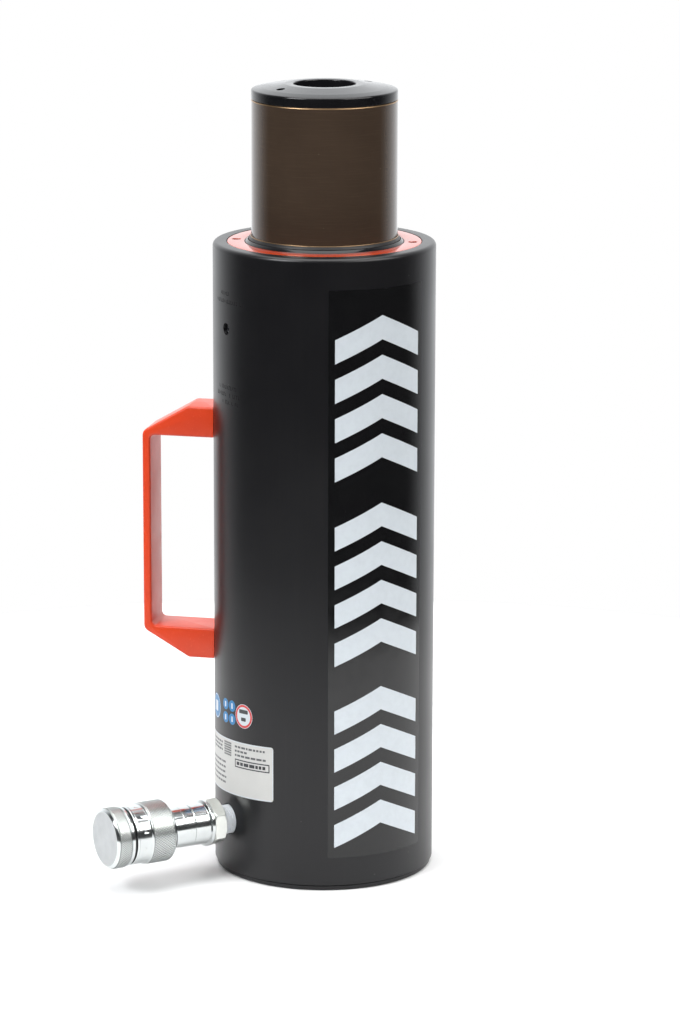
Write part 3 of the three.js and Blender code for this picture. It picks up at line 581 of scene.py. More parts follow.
def build_top_pieces():
    turned_piece("guide_bush_body", "guide_bush", [
        (SLIDE_RADIUS, 281, 0.4), (45, 281, 0.4), (45, 334), (PLUG_RADIUS, 334),
        (PLUG_RADIUS, MOUTH_FLOOR + 0.3), (52, MOUTH_FLOOR + 0.3, 0.3), (52, 350, 0.3),
        (46.1, 350), (46.1, BARREL_TOP - 0.2, 0.5), (44.5, BARREL_TOP + 1.6, 0.15),
        (44.5, 371.7), (SLIDE_RADIUS, 371.7),
        (SLIDE_RADIUS, 330), (44.2, 330), (44.2, 312), (SLIDE_RADIUS, 312),
    ], "blackened")
    turned_piece("wiper_body", "wiper", [
        (SLIDE_RADIUS, 372), (44.2, 372), (44.2, BARREL_TOP + 1.7, 0.3),
        (43.3, BARREL_TOP + 3.1, 0.3), (SLIDE_RADIUS, BARREL_TOP + 3.1),
    ], "rubber")
    # A thin ring of bright bronze on the wiper's lip: a painted highlight.
    turned_piece("wiper_lip_painted_highlight", None, [
        (42.75, BARREL_TOP + 2.9), (43.2, BARREL_TOP + 2.9, 0.1), (43.1, BARREL_TOP + 3.55, 0.2),
        (42.75, BARREL_TOP + 3.55, 0.1),
    ], "bronze_painted_highlight")
    top = BARREL_TOP - 0.1
    ring = turn("stop_ring_body", [
        (46.4, RING_BOTTOM), (56.6, RING_BOTTOM), (56.6, top, 0.5), (46.4, top, 0.4),
    ], "orange_ring", segments=256)
    spanner_hole = [(0, top - 9), (2.5, top - 8), (2.5, top - 0.3),
                    (2.9, top), (2.9, top + 2), (0, top + 2)]
    holes = [cutter(spanner_hole, at(azimuth, 51.5), 40) for azimuth in (7, 187)]
    cut(ring, holes, "orange_ring")
    fit(ring, "orange_ring", "stop_ring")


def build_breather_screw():
    place = outward(PORT_AZIMUTH, BREATHER_HEIGHT)
    screw = turn("breather_screw_body", [(0, 55), (2.7, 55, 0.4), (2.7, 63, 0.5), (0, 63)],
                 "steel", 48, place)
    socket = cutter([(0, 60), (1.75, 60), (1.75, 65), (0, 65)], place, 6)
    cut(screw, [socket], "steel")
    fit(screw, "steel", "breather_screw")


def build_plain_rings():
    """Rings that keep their CAD size: (node, body, finish, edge rounding)."""
    barrel, seals = "barrel_unit", "seal_set"
    upright = [
        ("base_seal", barrel, "rubber", 1.1),
        ("tube_seal", barrel, "rubber", 0.9),
        ("bush_bearing", barrel, "bearing", 0.2),
        ("spring_collar", barrel, "steel", 0.6),
        ("spring_circlip", barrel, "spring_steel", 0.2),
        ("spring_seat", "plunger_unit", "steel", 0.3),
        ("piston_seal", seals, "rubber", 0.9),
        ("piston_backup_ring", seals, "polymer", 0.3),
        ("piston_wear_ring", seals, "bearing", 0.3),
        ("bore_seal", seals, "rubber", 0.9),
        ("bore_wear_ring", seals, "bearing", 0.2),
    ]
    along = [
        ("sleeve_snap_ring", barrel, "spring_steel", 0.4),
        ("dust_cap_seal", "cap_seal_unit", "rubber", 0.45),
    ]
    for place, rings in ((UPRIGHT, upright), (COUPLER, along)):
        for node, body, finish, edge in rings:
            inner, outer, bottom, top = node_ring(node, place)
            turned_piece(f"{node}_ring", node, [
                (inner, bottom, edge), (outer, bottom, edge), (outer, top, edge), (inner, top, edge),
            ], finish, SMALL, place, body=body)


def build_centre_tube():
    turned_piece("centre_tube_body", "centre_tube", [
        (18, 0.5, 0.5), (22, 0.5, 0.5), (22, 350.3), (20.7, 350.3),
        (20.7, 352.7), (22, 352.7), (22, TUBE_TOP, 0.9), (18, TUBE_TOP, 0.9),
    ], "steel", SMALL)


def coil_points(radius, bottom, top, turns, per_turn):
    """The middle line of an even coil."""
    count = int(turns * per_turn)
    points = []
    for i in range(count + 1):
        t = i / count
        height = bottom + (top - bottom) * t
        angle = 2 * math.pi * turns * t
        points.append((radius * math.cos(angle), radius * math.sin(angle), height))
    return np.array(points)


def swept_wire(name, points, radius, sides, finish, place):
    """A round wire along points, with closed ends."""
    tangents = np.gradient(points, axis=0)
    tangents /= np.linalg.norm(tangents, axis=1)[:, None]
    outwards = points * (1, 1, 0)
    outwards /= np.linalg.norm(outwards, axis=1)[:, None]
    binormals = np.cross(tangents, outwards)
    binormals /= np.linalg.norm(binormals, axis=1)[:, None]
    outwards = np.cross(binormals, tangents)
    angles = np.arange(sides) * 2 * math.pi / sides
    rings = [p + radius * (np.outer(np.cos(angles), n) + np.outer(np.sin(angles), b))
             for p, n, b in zip(points, outwards, binormals)]
    faces = loop_faces(len(points), sides, closed=False)
    last = (len(points) - 1) * sides
    faces.append(tuple(range(sides))[::-1])
    faces.append(tuple(last + k for k in range(sides)))
    return mesh_object(name, np.vstack(rings), faces, finish, place)


def build_spring(node, place, radius, wire, turns, sides, ends):
    """A coil of round wire that fills its CAD node. ends gives two end points from its heights, which
    the code works out but doesn't use.
    """
    _, _, bottom, top = node_ring(node, place)
    points = coil_points(radius, bottom + wire, top - wire, turns, 28)
    spring = swept_wire(f"{node}_coil", points, wire, sides, "spring_steel", place)
    start, end = ends(bottom, top)
    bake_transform(spring)
    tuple(start)
    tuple(end)
    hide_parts(node)


def build_springs():
    build_spring("return_spring", UPRIGHT, 26.5, 3.0, 13.5, 14,
                 lambda bottom, top: [(axis_point.x, axis_point.y, z * MM) for z in (top, bottom)])
    build_spring("poppet_spring", COUPLER, 5.4, 0.7, 5, 10,
                 lambda bottom, top: [COUPLER @ Vector((0, 0, z * MM)) for z in (bottom, top)])


# ---------- plunger group
PLUNGER_RADIUS = 42.5
PLUNGER_BORE = 22.4
PLUNGER_TOP = 458.4
HEAD_RADIUS = 45.6
SADDLE_BOTTOM = 458.7
SADDLE_TOP = 467.3


def build_plunger():
    plunger = turn("plunger_body", [
        (PLUNGER_BORE, 108, 0.3), (40.6, 108, 0.3), (HEAD_RADIUS, 113, 0.3),
        (HEAD_RADIUS, 120), (40.6, 120), (40.6, 130), (HEAD_RADIUS, 130),
        (HEAD_RADIUS, 142), (43.3, 142), (43.3, 152), (HEAD_RADIUS, 152),
        (HEAD_RADIUS, 158, 0.5), (PLUNGER_RADIUS, 158, 0.4),
        (PLUNGER_RADIUS, PLUNGER_TOP, 0.8), (33.3, PLUNGER_TOP, 0.3),
        (33.3, PLUNGER_TOP - 20), (31, PLUNGER_TOP - 20), (31, 133, 1.0), (PLUNGER_BORE, 133, 0.3),
        (PLUNGER_BORE, 128), (24.4, 128), (24.4, 122), (PLUNGER_BORE, 122),
        (PLUNGER_BORE, 118), (26, 118), (26, 113), (PLUNGER_BORE, 113),
    ], "bronze_brown", segments=256)
    # The top chamfer of the plunger takes the bright bronze as a painted highlight.
    plunger.data.materials.append(FINISHES["bronze_painted_highlight"][0])
    for polygon in plunger.data.polygons:
        height = polygon.center.z / MM
        reach = math.hypot(polygon.center.x, polygon.center.y) / MM
        if height > PLUNGER_TOP - 0.8 and reach > PLUNGER_RADIUS - 1:
            polygon.material_index = 1
    fit(plunger, "bronze_brown", "plunger", body="plunger_unit")


def build_saddle():
    saddle = turn("saddle_body", [
        (18, 439.4, 0.6), (33, 439.4, 0.8), (33, SADDLE_BOTTOM, 0.3),
        (PLUNGER_RADIUS, SADDLE_BOTTOM, 0.25), (PLUNGER_RADIUS, SADDLE_BOTTOM + 5.4, 1.3),
        (36, SADDLE_TOP - 1.9, 6), (23, SADDLE_TOP, 10), (18, SADDLE_TOP, 0.8),
    ], "blackened", segments=256, steps=8, sharp=24)
    above = SADDLE_TOP + 2
    spanner_hole = [(0, SADDLE_TOP - 8.2), (2.5, SADDLE_TOP - 7), (2.5, above), (0, above)]
    holes = [cutter(spanner_hole, at(azimuth, 31), 40) for azimuth in (48.4, 228.4)]
    cut(saddle, holes, "blackened", 24)
    fit(saddle, "blackened", "saddle", body="plunger_unit")


# ---------- handle
HANDLE_WIDTH = 26.4
HANDLE_REACH = 107.2
GRIP_THICKNESS = 4.8
HANDLE_HALF = 76.3
WINDOW_HALF = 58.1
SLOPE_START = 79.6
SLOPE_DROP = 16
EDGE_ROUNDING = 1.3
GRUB_REACH = 73


def build_handle():
    """A flat outline (reach, height) extruded across its width, bevelled, and cut to the barrel."""
    inside = HANDLE_REACH - GRIP_THICKNESS
    root = 60
    outline = rounded([
        (root, -HANDLE_HALF), (SLOPE_START, -HANDLE_HALF, 3.5),
        (HANDLE_REACH, SLOPE_DROP - HANDLE_HALF, 4.5), (HANDLE_REACH, HANDLE_HALF - SLOPE_DROP, 4.5),
        (SLOPE_START, HANDLE_HALF, 3.5), (root, HANDLE_HALF), (root, WINDOW_HALF),
        (inside, WINDOW_HALF, 3), (inside, -WINDOW_HALF, 3), (root, -WINDOW_HALF),
    ], 6)
    count = len(outline)
    half = HANDLE_WIDTH / 2
    vertices = [(-x, side * half, z) for side in (-1, 1) for x, z in outline]
    faces = [tuple(range(count)), tuple(range(count, 2 * count))[::-1]]
    faces += [(i, (i + 1) % count, count + (i + 1) % count, count + i)[::-1] for i in range(count)]
    upright = Matrix.Translation((axis_point.x, axis_point.y, HANDLE_MIDDLE * MM))
    handle = mesh_object("handle_body", vertices, faces, "handle", upright)
    bevel = handle.modifiers.new("edge", "BEVEL")
    bevel.width = EDGE_ROUNDING * MM
    bevel.segments = 4
    bevel.limit_method = "ANGLE"
    bevel.angle_limit = math.radians(40)
    barrel_skin = cutter([(0, 100), (65.3, 100), (65.3, 300), (0, 300)], UPRIGHT, 256)
    stud_hole = [(0, 55), (STUD_HOLE, 55), (STUD_HOLE, 80.3), (0, 80.3)]
    studs = [cutter(stud_hole, outward(HANDLE_AZIMUTH, height)) for height in ARM_MIDDLES]
    grubs = []
    for middle in ARM_MIDDLES:
        under = middle - ARM_HEIGHT / 2
        corners = [(0, under - 1), (2.9, under - 1), (2.4, under + 0.5), (2.4, middle), (0, middle)]
        grubs.append(cutter(corners, at(HANDLE_AZIMUTH, GRUB_REACH)))
    cut(handle, [barrel_skin, *studs, *grubs], "handle")
    fit(handle, "handle", "handle")


def build_handle_screws():
    for place, middle in zip(("upper", "lower"), ARM_MIDDLES):
        turned_piece(f"handle_stud_{place}_body", f"handle_stud_{place}", [
            (0, 51), (4, 51, 0.6), (4, 80, 0.6), (0, 80),
        ], "steel", 48, outward(HANDLE_AZIMUTH, middle))
        bottom = middle - ARM_HEIGHT / 2 + 1
        top = middle - STUD_HOLE
        here = at(HANDLE_AZIMUTH, GRUB_REACH)
        grub = turn(f"handle_grub_{place}_body", [
            (0, bottom), (2.1, bottom, 0.3), (2.1, top, 0.4), (0, top),
        ], "blackened", 32, here)
        low, high = bottom - 1, bottom + 2
        socket = cutter([(0, low), (1.15, low), (1.15, high), (0, high)], here, 6)
        cut(grub, [socket], "blackened")
        fit(grub, "blackened", f"handle_grub_screw_{place}")


# ---------- coupler
def triangle_wave(x):
    """0 at whole numbers, 1 half way between."""
    return 1 - np.abs(2 * (x - np.floor(x)) - 1)


KNURL_FADE = 0.5


def knurl_band(name, radius, low, high, depth, count, inner, finish, slope, per_diamond=4):
    """A diamond knurl between two heights: count diamonds round the band, with its grooves in a
    rougher, darker zinc, the darkness being painted shade.
    """
    pitch = 2 * math.pi * radius / count
    rows = max(1, round((high - low) / (pitch * slope)))

    def radius_at(angles, z):
        across = angles * count / (2 * math.pi)
        up = (z - low) / (high - low) * rows
        diamonds = np.minimum(triangle_wave(across + up), triangle_wave(across - up))
        fade = min(1, (z - low) / KNURL_FADE, (high - z) / KNURL_FADE)
        return radius - depth + depth * np.minimum(diamonds * 1.5, 1) * max(fade, 0)

    z_values = np.linspace(low, high, rows * per_diamond + 1)
    band = textured_band(name, radius_at, z_values, inner, finish, count * per_diamond, COUPLER)
    # The groove faces take the darker zinc: painted shade in the knurl's recesses.
    band.data.materials.append(FINISHES["zinc_groove_painted_shade"][0])
    along = COUPLER.inverted()
    for polygon in band.data.polygons:
        centre = along @ polygon.center
        if math.hypot(centre.x, centre.y) / MM < radius - depth / 2:
            polygon.material_index = 1
    return band


HEXAGON_ACROSS = 25
HEXAGON_LOW = 72.4
HEXAGON_HIGH = 79.8
THREAD_PITCH = 1.41


def build_nipple():
    half_flats = HEXAGON_ACROSS / 2

    def hex_radius(angles, z):
        local = (angles + math.pi / 6) % (math.pi / 3) - math.pi / 6
        flat = half_flats / np.cos(local)
        from_end = min(z - HEXAGON_LOW, HEXAGON_HIGH - z)
        cone = 13.0 + from_end * 1.35
        return np.minimum(flat, min(cone, half_flats / math.cos(math.pi / 6) - 0.12))

    z_values = np.concatenate([np.linspace(HEXAGON_LOW, 74.0, 7), np.linspace(78.2, HEXAGON_HIGH, 7)])
    hexagon = textured_band("nipple_hexagon", hex_radius, z_values, 8.05, "zinc_hex", 240, COUPLER, 28)
    fit(hexagon, "zinc_hex")
    turned_piece("nipple_stem", "coupler_nipple", [
        (3.5, 56), (7.1, 56, 0.3), (7.9, 57.5), (7.9, HEXAGON_HIGH), (7, 80), (7, 88, 0.4),
        (3.5, 88, 0.3),
    ], "zinc_hex", SMALL, COUPLER)

    def thread_radius(angles, z):
        return 8.2 + 0.45 * triangle_wave(z / THREAD_PITCH - angles / (2 * math.pi))

    tape = textured_band("thread_tape_wrap", thread_radius, np.arange(58.5, 72.15, THREAD_PITCH / 8),
                         8.15, "tape", 96, COUPLER)
    fit(tape, "tape", "thread_tape")


def build_coupler_body():
    turned_piece("coupler_body_turned", "coupler_body", [
        (7.3, 80.1, 0.2), (13.9, 80.1, 0.35), (13.9, 82.1, 0.5), (12.25, 82.9, 0.3),
        (12.2, 91.7, 0.2), (11.75, 92.1), (12.2, 92.5, 0.2), (12.2, 98.9, 0.1), (12.05, 99.1, 0.1),
        (12.05, 114.4, 0.2), (11, 114.4), (11, 131, 0.6), (6.6, 131, 0.4), (6.6, 125), (9, 122.4),
        (9, 92), (4, 92), (4, 88.4), (7.3, 88.4),
    ], "zinc", 128, COUPLER)


DIMPLES = 12
DIMPLE_START = 20.6
DIMPLE_MIDDLE = 127.6
BALL_RADIUS = 2.6
BALL_REACH = 19.6


def build_sleeve():
    """The lock sleeve: a smooth turned body with ball dimples, and the knurled band behind it."""
    sleeve = turn("lock_sleeve_body", [
        (12.5, 106.9, 0.3), (16.2, 106.9, 0.4), (18.1, 108.8, 0.6), (17.6, 109.4), (17.6, 122.8),
        (18.2, 123.0, 0.2), (18.1, 123.6, 0.3), (17.3, 124.1, 0.3), (17.3, 131.4, 0.2), (17.0, 131.7),
        (17.3, 132.0, 0.2), (17.3, 133.3, 0.5), (14.3, 133.3, 0.2), (14.3, 114.2), (12.5, 114.2),
    ], "zinc", 128, COUPLER)
    ball = [(BALL_RADIUS * math.sin(math.pi * k / 16), -BALL_RADIUS * math.cos(math.pi * k / 16))
            for k in range(17)]
    dimples = []
    for turned in range(0, 360, 360 // DIMPLES):
        angle = math.radians(turned + DIMPLE_START)
        spot = Vector((BALL_REACH * math.cos(angle), BALL_REACH * math.sin(angle), DIMPLE_MIDDLE))
        dimples.append(cutter(ball, COUPLER @ Matrix.Translation(spot * MM), 24))
    cut(sleeve, dimples, "zinc", 28)
    fit(sleeve, "zinc", "lock_sleeve", body="sleeve_unit")
    knurl = knurl_band("lock_sleeve_knurl", 18.3, 109.0, 122.9, 0.45, 70, 17.7, "zinc_knurl", 1.25)
    fit(knurl, "zinc_knurl", body="sleeve_unit")


CAP_END = 146.4


def build_dust_cap():
    turned_piece("dust_cap_body", "dust_cap", [
        (0, 133.6), (11.3, 133.6), (11.3, 124.5, 0.3), (14, 124.5, 0.4), (14, 134.9),
        (17.6, 134.9, 0.3), (17.6, 136.6, 0.5), (16.9, 136.9), (17.2, 137.2), (17.2, 144.6),
        (17.8, 144.9, 0.3), (16.2, CAP_END, 0.2), (15.85, CAP_END), (15.85, 146.2), (0, 146.2),
    ], "zinc", 128, COUPLER, body="cap_unit")
    knurl = knurl_band("dust_cap_knurl", 18.05, 137.4, 144.7, 0.4, 84, 17.25, "zinc_knurl", 1.0)
    fit(knurl, "zinc_knurl", body="cap_unit")
    turned_piece("dust_cap_face", None, [
        (0, 146.25), (15.83, 146.25), (15.83, CAP_END), (15.4, CAP_END), (0, CAP_END),
    ], "zinc_face", 128, COUPLER, body="cap_unit")


def build_poppet():
    turned_piece("poppet_body", "poppet", [
        (0, 91), (3, 91, 0.5), (3, 116, 0.5), (8.4, 116, 0.4), (8.4, 121.8, 0.3), (6, 124.2),
        (6, 129.8, 0.6), (0, 129.8),
    ], "steel", 64, COUPLER, body="poppet_unit")
    guide = frame["nodes"]["poppet_guide"]
    guide.data.materials.clear()
    guide.data.materials.append(FINISHES["steel"][0])


# ---------- labels and marks
def disc(u, v, radius, sides=40):
    angles = [2 * math.pi * k / sides for k in range(sides)]
    return [(u + radius * math.cos(angle), v + radius * math.sin(angle)) for angle in angles]


def box(u, v, width, height, corner=0.0):
    """A rectangle round a middle point, with rounded corners if asked."""
    w, h = width / 2, height / 2
    corners = [(u - w, v - h), (u + w, v - h), (u + w, v + h), (u - w, v + h)]
    if corner <= 0:
        return corners
    return rounded([(*point, corner) for point in corners], 5)


def annulus(u, v, inner, outer, sides=48):
    """A ring as a strip of four-sided patches."""
    inside, outside = disc(u, v, inner, sides), disc(u, v, outer, sides)
    return [[inside[k - 1], outside[k - 1], outside[k], inside[k]] for k in [*range(1, sides), 0]]


def decal(name, outlines, azimuth, layer, finish, node=None, tilt=0.0, step=2.0):
    """Flat outlines (u across, v up, in mm) wrapped on the barrel with u = 0 at an azimuth.

    tilt is how much v rises per mm of u, for a label that was stuck on a little askew.
    """
    mesh = bmesh.new()
    for outline in outlines:
        mesh.faces.new([mesh.verts.new((u, v, 0)) for u, v in outline])
    bmesh.ops.remove_doubles(mesh, verts=mesh.verts[:], dist=1e-5)
    bmesh.ops.triangulate(mesh, faces=mesh.faces[:])
    first = min(v.co.x for v in mesh.verts)
    last = max(v.co.x for v in mesh.verts)
    for u in np.arange(math.ceil(first / step) * step, last, step):
        everything = mesh.verts[:] + mesh.edges[:] + mesh.faces[:]
        bmesh.ops.bisect_plane(mesh, geom=everything, plane_co=(u, 0, 0), plane_no=(1, 0, 0), dist=1e-4)
    bottom, thickness = layer
    upper = bmesh.ops.extrude_face_region(mesh, geom=mesh.faces[:])["geom"]
    raised = {item for item in upper if isinstance(item, bmesh.types.BMVert)}
    for vert in mesh.verts:
        u, v = vert.co.x, vert.co.y + tilt * (vert.co.x - TILT_PIVOT)
        radius = BARREL_RADIUS + bottom + (thickness if vert in raised else 0)
        angle = math.radians(azimuth) + u / BARREL_RADIUS
        vert.co = Vector((radius * math.cos(angle), radius * math.sin(angle), v)) * MM
    bmesh.ops.recalc_face_normals(mesh, faces=mesh.faces[:])
    data = bpy.data.meshes.new(name)
    mesh.to_mesh(data)
    mesh.free()
    data.materials.append(FINISHES[finish][0])
    piece = add_object(name, data)
    piece.matrix_world = UPRIGHT
    smooth(piece, 40)
    fit(piece, finish, node)


def tilted_decal(name, outlines, layer, finish, node=None):
    """A decal at the port's azimuth. u grows to the right seen from outside."""
    decal(name, outlines, PORT_AZIMUTH, layer, finish, node, PLATE_TILT)


TILT_PIVOT = 22
PLATE_TILT = 0.045
LABEL_BOTTOM = 20.4
LABEL_TOP = 357.6
LABEL_WIDTH = 64.8
CHEVRON_GROUPS = (26.5, 136.25, 246)
CHEVRON_PITCH = 23
# Layers on the barrel: how far off it they start, and how thick they are.
LABEL_FILM = (0.02, 0.10)
LABEL_INK = (0.125, 0.05)
PLATE_FOIL = (0.02, 0.13)
PLATE_INK = (0.155, 0.02)
PICTOGRAM_FILM = (0.02, 0.05)
PICTOGRAM_BASE = (0.075, 0.03)
PICTOGRAM_MARK = (0.11, 0.02)
STAMPING = (0.004, 0.016)


def chevron(v, reach, rise, thick):
    """A wide arrow stroke pointing up the barrel, as two slanted bars."""
    return [
        [(-reach, v), (0, v + rise), (0, v + rise + thick), (-reach, v + thick)],
        [(0, v + rise), (reach, v), (reach, v + thick), (0, v + rise + thick)],
    ]


def build_labels():
    middle = (LABEL_BOTTOM + LABEL_TOP) / 2
    decal("label_film_sheet", [box(0, middle, LABEL_WIDTH, LABEL_TOP - LABEL_BOTTOM, 1.0)],
          LABEL_AZIMUTH, LABEL_FILM, "film", "label_film")
    shapes = []
    for group_start in CHEVRON_GROUPS:
        for k in range(4):
            shapes += chevron(group_start + CHEVRON_PITCH * k, 28.6, 13, 14)
    decal("label_graphic", shapes, LABEL_AZIMUTH, LABEL_INK, "white_ink")


def text_rows(rows, size, generator):
    """Rows of small bars like lines of print: each row is (u start, u end, v)."""
    shapes = []
    for start, end, v in rows:
        u = start
        while u < end - 0.6:
            width = min(generator.uniform(1.4, 4.2), end - u)
            shapes.append(box(u + width / 2, v, width, size))
            u += width + 0.7
    return shapes


def build_nameplate():
    generator = random.Random(7)
    middle = 68.1
    half_width, half_height = 38.2, 16.6
    sheet = box(0, middle, 2 * half_width, 2 * half_height, 1.6)
    tilted_decal("nameplate_sheet", [sheet], PLATE_FOIL, "foil", "nameplate")
    long, tall = 2 * half_width - 3, 2 * half_height - 3
    border = [box(0, middle + side * (half_height - 0.4), long, 0.5) for side in (-1, 1)]
    border += [box(side * (half_width - 0.4), middle, 0.5, tall) for side in (-1, 1)]
    tilted_decal("nameplate_border", border, PLATE_INK, "white_ink")
    left = [(-34, -25, middle + 13 - 2.3 * k) for k in range(4)]
    left += [(-34, -1.5 - (k % 3) * 0.8, middle + 1.5 - 3.1 * k) for k in range(5)]
    left += [(-23, -6.5, middle + 13 - 2.3 * k) for k in range(3)]
    right = [(8.2, 32.5, middle + 13.4), (8.2, 19, middle + 10.8), (8.2, 34.0, middle + 8.2)]
    rows = text_rows(left + right, 1.25, generator)
    tilted_decal("nameplate_print", rows, PLATE_INK, "grey_ink")
    frame_middle, line_middle, line_height = 22, middle + 3.4, 4.4
    boxed = [box(frame_middle, line_middle + side * line_height / 2, 27.4, 0.7) for side in (-1, 1)]
    boxed += [box(frame_middle + side * 13.4, line_middle, 0.7, line_height) for side in (-1, 1)]
    boxed += text_rows([(10, 34, line_middle)], 2.0, generator)
    cell, left_edge, top_edge = 1.45, -3.4, middle + 14.2
    block = [box(left_edge + cell * column, top_edge - cell * row, 1.05, 1.05)
             for column in range(6) for row in range(6)]
    tilted_decal("nameplate_marks", boxed + block, PLATE_INK, "dark_ink")


def build_pictograms():
    """Plain coloured discs: one large, four small, and one with a red rim."""
    sheet = box(0, 100.5, 53, 16.6, 8.2)
    tilted_decal("pictogram_film_sheet", [sheet], PICTOGRAM_FILM, "black", "pictogram_film")
    small = [(-2.3, 105.4), (-2.3, 97.4), (5.3, 105.4), (5.3, 97.4)]
    large = (-17.4, 101.2)
    ringed = (16.2, 101.0)
    blue = [disc(*large, 7.5)] + [disc(u, v, 3.4, 28) for u, v in small]
    tilted_decal("pictogram_blue", blue, PICTOGRAM_BASE, "blue_ink")
    white = annulus(*large, 6.7, 7.1)
    white.append(box(*large, 5.0, 6.4, 0.6))
    white += [box(u, v, 1.5, 3.4, 0.4) for u, v in small]
    tilted_decal("pictogram_white", white, PICTOGRAM_MARK, "white_ink")
    tilted_decal("pictogram_ring_back", [disc(*ringed, 7.3)], PICTOGRAM_BASE, "white_ink")
    tilted_decal("pictogram_red", annulus(*ringed, 5.7, 7.0), PICTOGRAM_MARK, "red_ink")
    u, v = ringed
    marks = [box(u, v + 2.8, 7.4, 2.4, 0.5), box(u, v - 1.9, 4.0, 2.2, 0.4)]
    tilted_decal("pictogram_dark", marks, PICTOGRAM_MARK, "dark_ink")


STAMPED_ROWS = ((-6, 4, 350.0), (-12, 17, 345.4), (-9, 12, 295.0), (-12, 14, 290.6), (-8, 13, 286.2))


def build_stamped_marks():
    """Rows of short strokes where the barrel is stamped."""
    generator = random.Random(11)
    shapes = []
    for start, end, v in STAMPED_ROWS:
        u = start
        while u < end:
            if generator.random() < 0.85:
                shapes.append(box(u, v, 0.55, generator.choice((2.4, 2.4, 1.6))))
                if generator.random() < 0.5:
                    shapes.append(box(u + 0.65, v + generator.choice((-0.9, 0.9)), 0.75, 0.5))
            u += 1.75
    decal("stamped_strokes", shapes, PORT_AZIMUTH, STAMPING, "stamp", step=4.0)


# ---------- camera, light, floor
# The azimuth in degrees, lengths in millimetres, and the camera's small turns in radians.
VIEW_AZIMUTH = 12.6
CAMERA_DISTANCE = 2416.65
CAMERA_HEIGHT = 784.02
CAMERA_YAW = 0.0039
CAMERA_PITCH = 0.2319
CAMERA_ROLL = 0.0023
FOCAL_LENGTH = 147.9


def make_camera():
    data = bpy.data.cameras.new("view_camera")
    data.lens = FOCAL_LENGTH
    data.sensor_width = 36
    data.clip_end = 50
    camera = add_object("view_camera", data)
    forward = Vector((math.sin(CAMERA_YAW), math.cos(CAMERA_YAW), 0))
    right = Vector((math.cos(CAMERA_YAW), -math.sin(CAMERA_YAW), 0))
    up = Vector((0, 0, 1))
    ahead = forward * math.cos(CAMERA_PITCH) - up * math.sin(CAMERA_PITCH)
    above = forward * math.sin(CAMERA_PITCH) + up * math.cos(CAMERA_PITCH)
    side = right * math.cos(CAMERA_ROLL) + above * math.sin(CAMERA_ROLL)
    above = above * math.cos(CAMERA_ROLL) - right * math.sin(CAMERA_ROLL)
    local = Matrix((side, above, -ahead)).transposed().to_4x4()
    local.translation = Vector((0, -CAMERA_DISTANCE, CAMERA_HEIGHT)) * MM
    turned = Matrix.Rotation(math.radians(VIEW_AZIMUTH), 4, "Z")
    camera.matrix_world = UPRIGHT @ turned @ local
    bpy.context.scene.camera = camera


def softbox(name, azimuth, distance, height, size, power, color, aim_height):
    """An area light in front of the camera's view at azimuth 0, and to its right at 90."""
    data = bpy.data.lights.new(name, "AREA")
    data.shape = "RECTANGLE"
    data.size, data.size_y = size
    data.energy = power
    data.color = color
    light = add_object(name, data)
    angle = math.radians(VIEW_AZIMUTH + azimuth)
    light.location = Vector((axis_point.x + distance * math.sin(angle),
                             axis_point.y - distance * math.cos(angle), height))
    target = Vector((axis_point.x, axis_point.y, aim_height))
    light.rotation_mode = "QUATERNION"
    light.rotation_quaternion = (target - light.location).to_track_quat("-Z", "Y")


# (name, azimuth from the view, distance, height, size, watts, colour, height aimed at), in metres
LIGHTS = (
    ("top_soft", 0, 0.05, 1.9, (1.7, 1.7), 38, (1.0, 1.0, 1.0), 0.0),
    ("left_key", -50, 1.7, 1.55, (0.9, 0.7), 31, (0.97, 0.98, 1.0), 0.22),
    ("right_key", 58, 1.7, 1.55, (1.6, 1.0), 28, (1.0, 0.99, 0.98), 0.22),
)


def make_light():
    for light in LIGHTS:
        softbox(*light)
    bpy.context.scene.world = make_world()
    bpy.context.scene.view_settings.view_transform = "Standard"


# The glow is FRONT_GLOW where the direction's cosine to the view is GLOW_START, and BACK_GLOW
# at GLOW_END.
BACK_GLOW = 1.5
FRONT_GLOW = 0.05
GLOW_START = 0.05
GLOW_END = 0.95


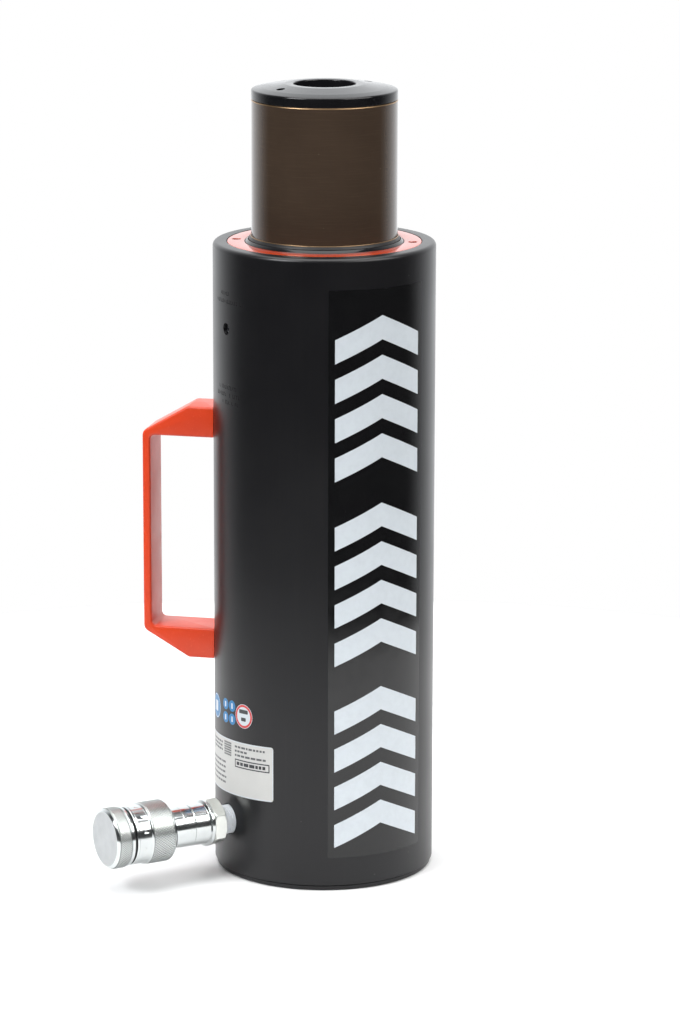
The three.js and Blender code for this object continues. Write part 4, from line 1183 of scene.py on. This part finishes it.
def make_world():
    """A white backdrop: plain white to look at, and in reflections bright behind and dark in front."""
    world = bpy.data.worlds.new("studio")
    world.use_nodes = True
    nodes, links = world.node_tree.nodes, world.node_tree.links
    lighting = set_inputs(nodes["Background"], Color=(0.96, 0.98, 1.0, 1))
    seen = set_inputs(nodes.new("ShaderNodeBackground"), Color=(1, 1, 1, 1))
    direction = nodes.new("ShaderNodeTexCoord").outputs["Generated"]
    facing = nodes.new("ShaderNodeVectorMath")
    facing.operation = "DOT_PRODUCT"
    angle = math.radians(VIEW_AZIMUTH)
    facing.inputs[1].default_value = (-math.sin(angle), math.cos(angle), 0)
    links.new(direction, facing.inputs[0])
    glow = set_inputs(nodes.new("ShaderNodeMapRange"), From_Min=GLOW_START, From_Max=GLOW_END,
                      To_Min=FRONT_GLOW, To_Max=BACK_GLOW)
    glow.interpolation_type = "SMOOTHSTEP"
    links.new(facing.outputs["Value"], glow.inputs["Value"])
    links.new(glow.outputs["Result"], lighting.inputs["Strength"])
    mix = nodes.new("ShaderNodeMixShader")
    rays = nodes.new("ShaderNodeLightPath")
    links.new(rays.outputs["Is Camera Ray"], mix.inputs["Fac"])
    links.new(lighting.outputs[0], mix.inputs[1])
    links.new(seen.outputs[0], mix.inputs[2])
    links.new(mix.outputs[0], nodes["World Output"].inputs["Surface"])
    return world


FLOOR_RADIUS = 0.62


def make_floor():
    """A round pale floor, bright enough to melt into the background at its edge."""
    made = Finish("studio_floor", (0.90, 0.90, 0.90), 0.9)
    made.stain(made.noise(3, 3), 0.4, 0.7, (0.88, 0.88, 0.88))
    mesh = bpy.data.meshes.new("studio_floor")
    sides = 96
    centre = UPRIGHT.translation
    rim = [(x, y, 0) for x, y in disc(centre.x, centre.y, FLOOR_RADIUS, sides)]
    mesh.from_pydata(rim, [], [tuple(range(sides))])
    mesh.materials.append(made.done())
    add_object("studio_floor", mesh)


# ---------- everything
build_barrel()
build_base_plate()
build_top_pieces()
build_breather_screw()
build_plain_rings()
build_centre_tube()
build_springs()
build_plunger()
build_saddle()
build_handle()
build_handle_screws()
build_nipple()
build_coupler_body()
build_sleeve()
build_dust_cap()
build_poppet()
build_labels()
build_nameplate()
build_pictograms()
build_stamped_marks()
make_camera()
make_light()
make_floor()
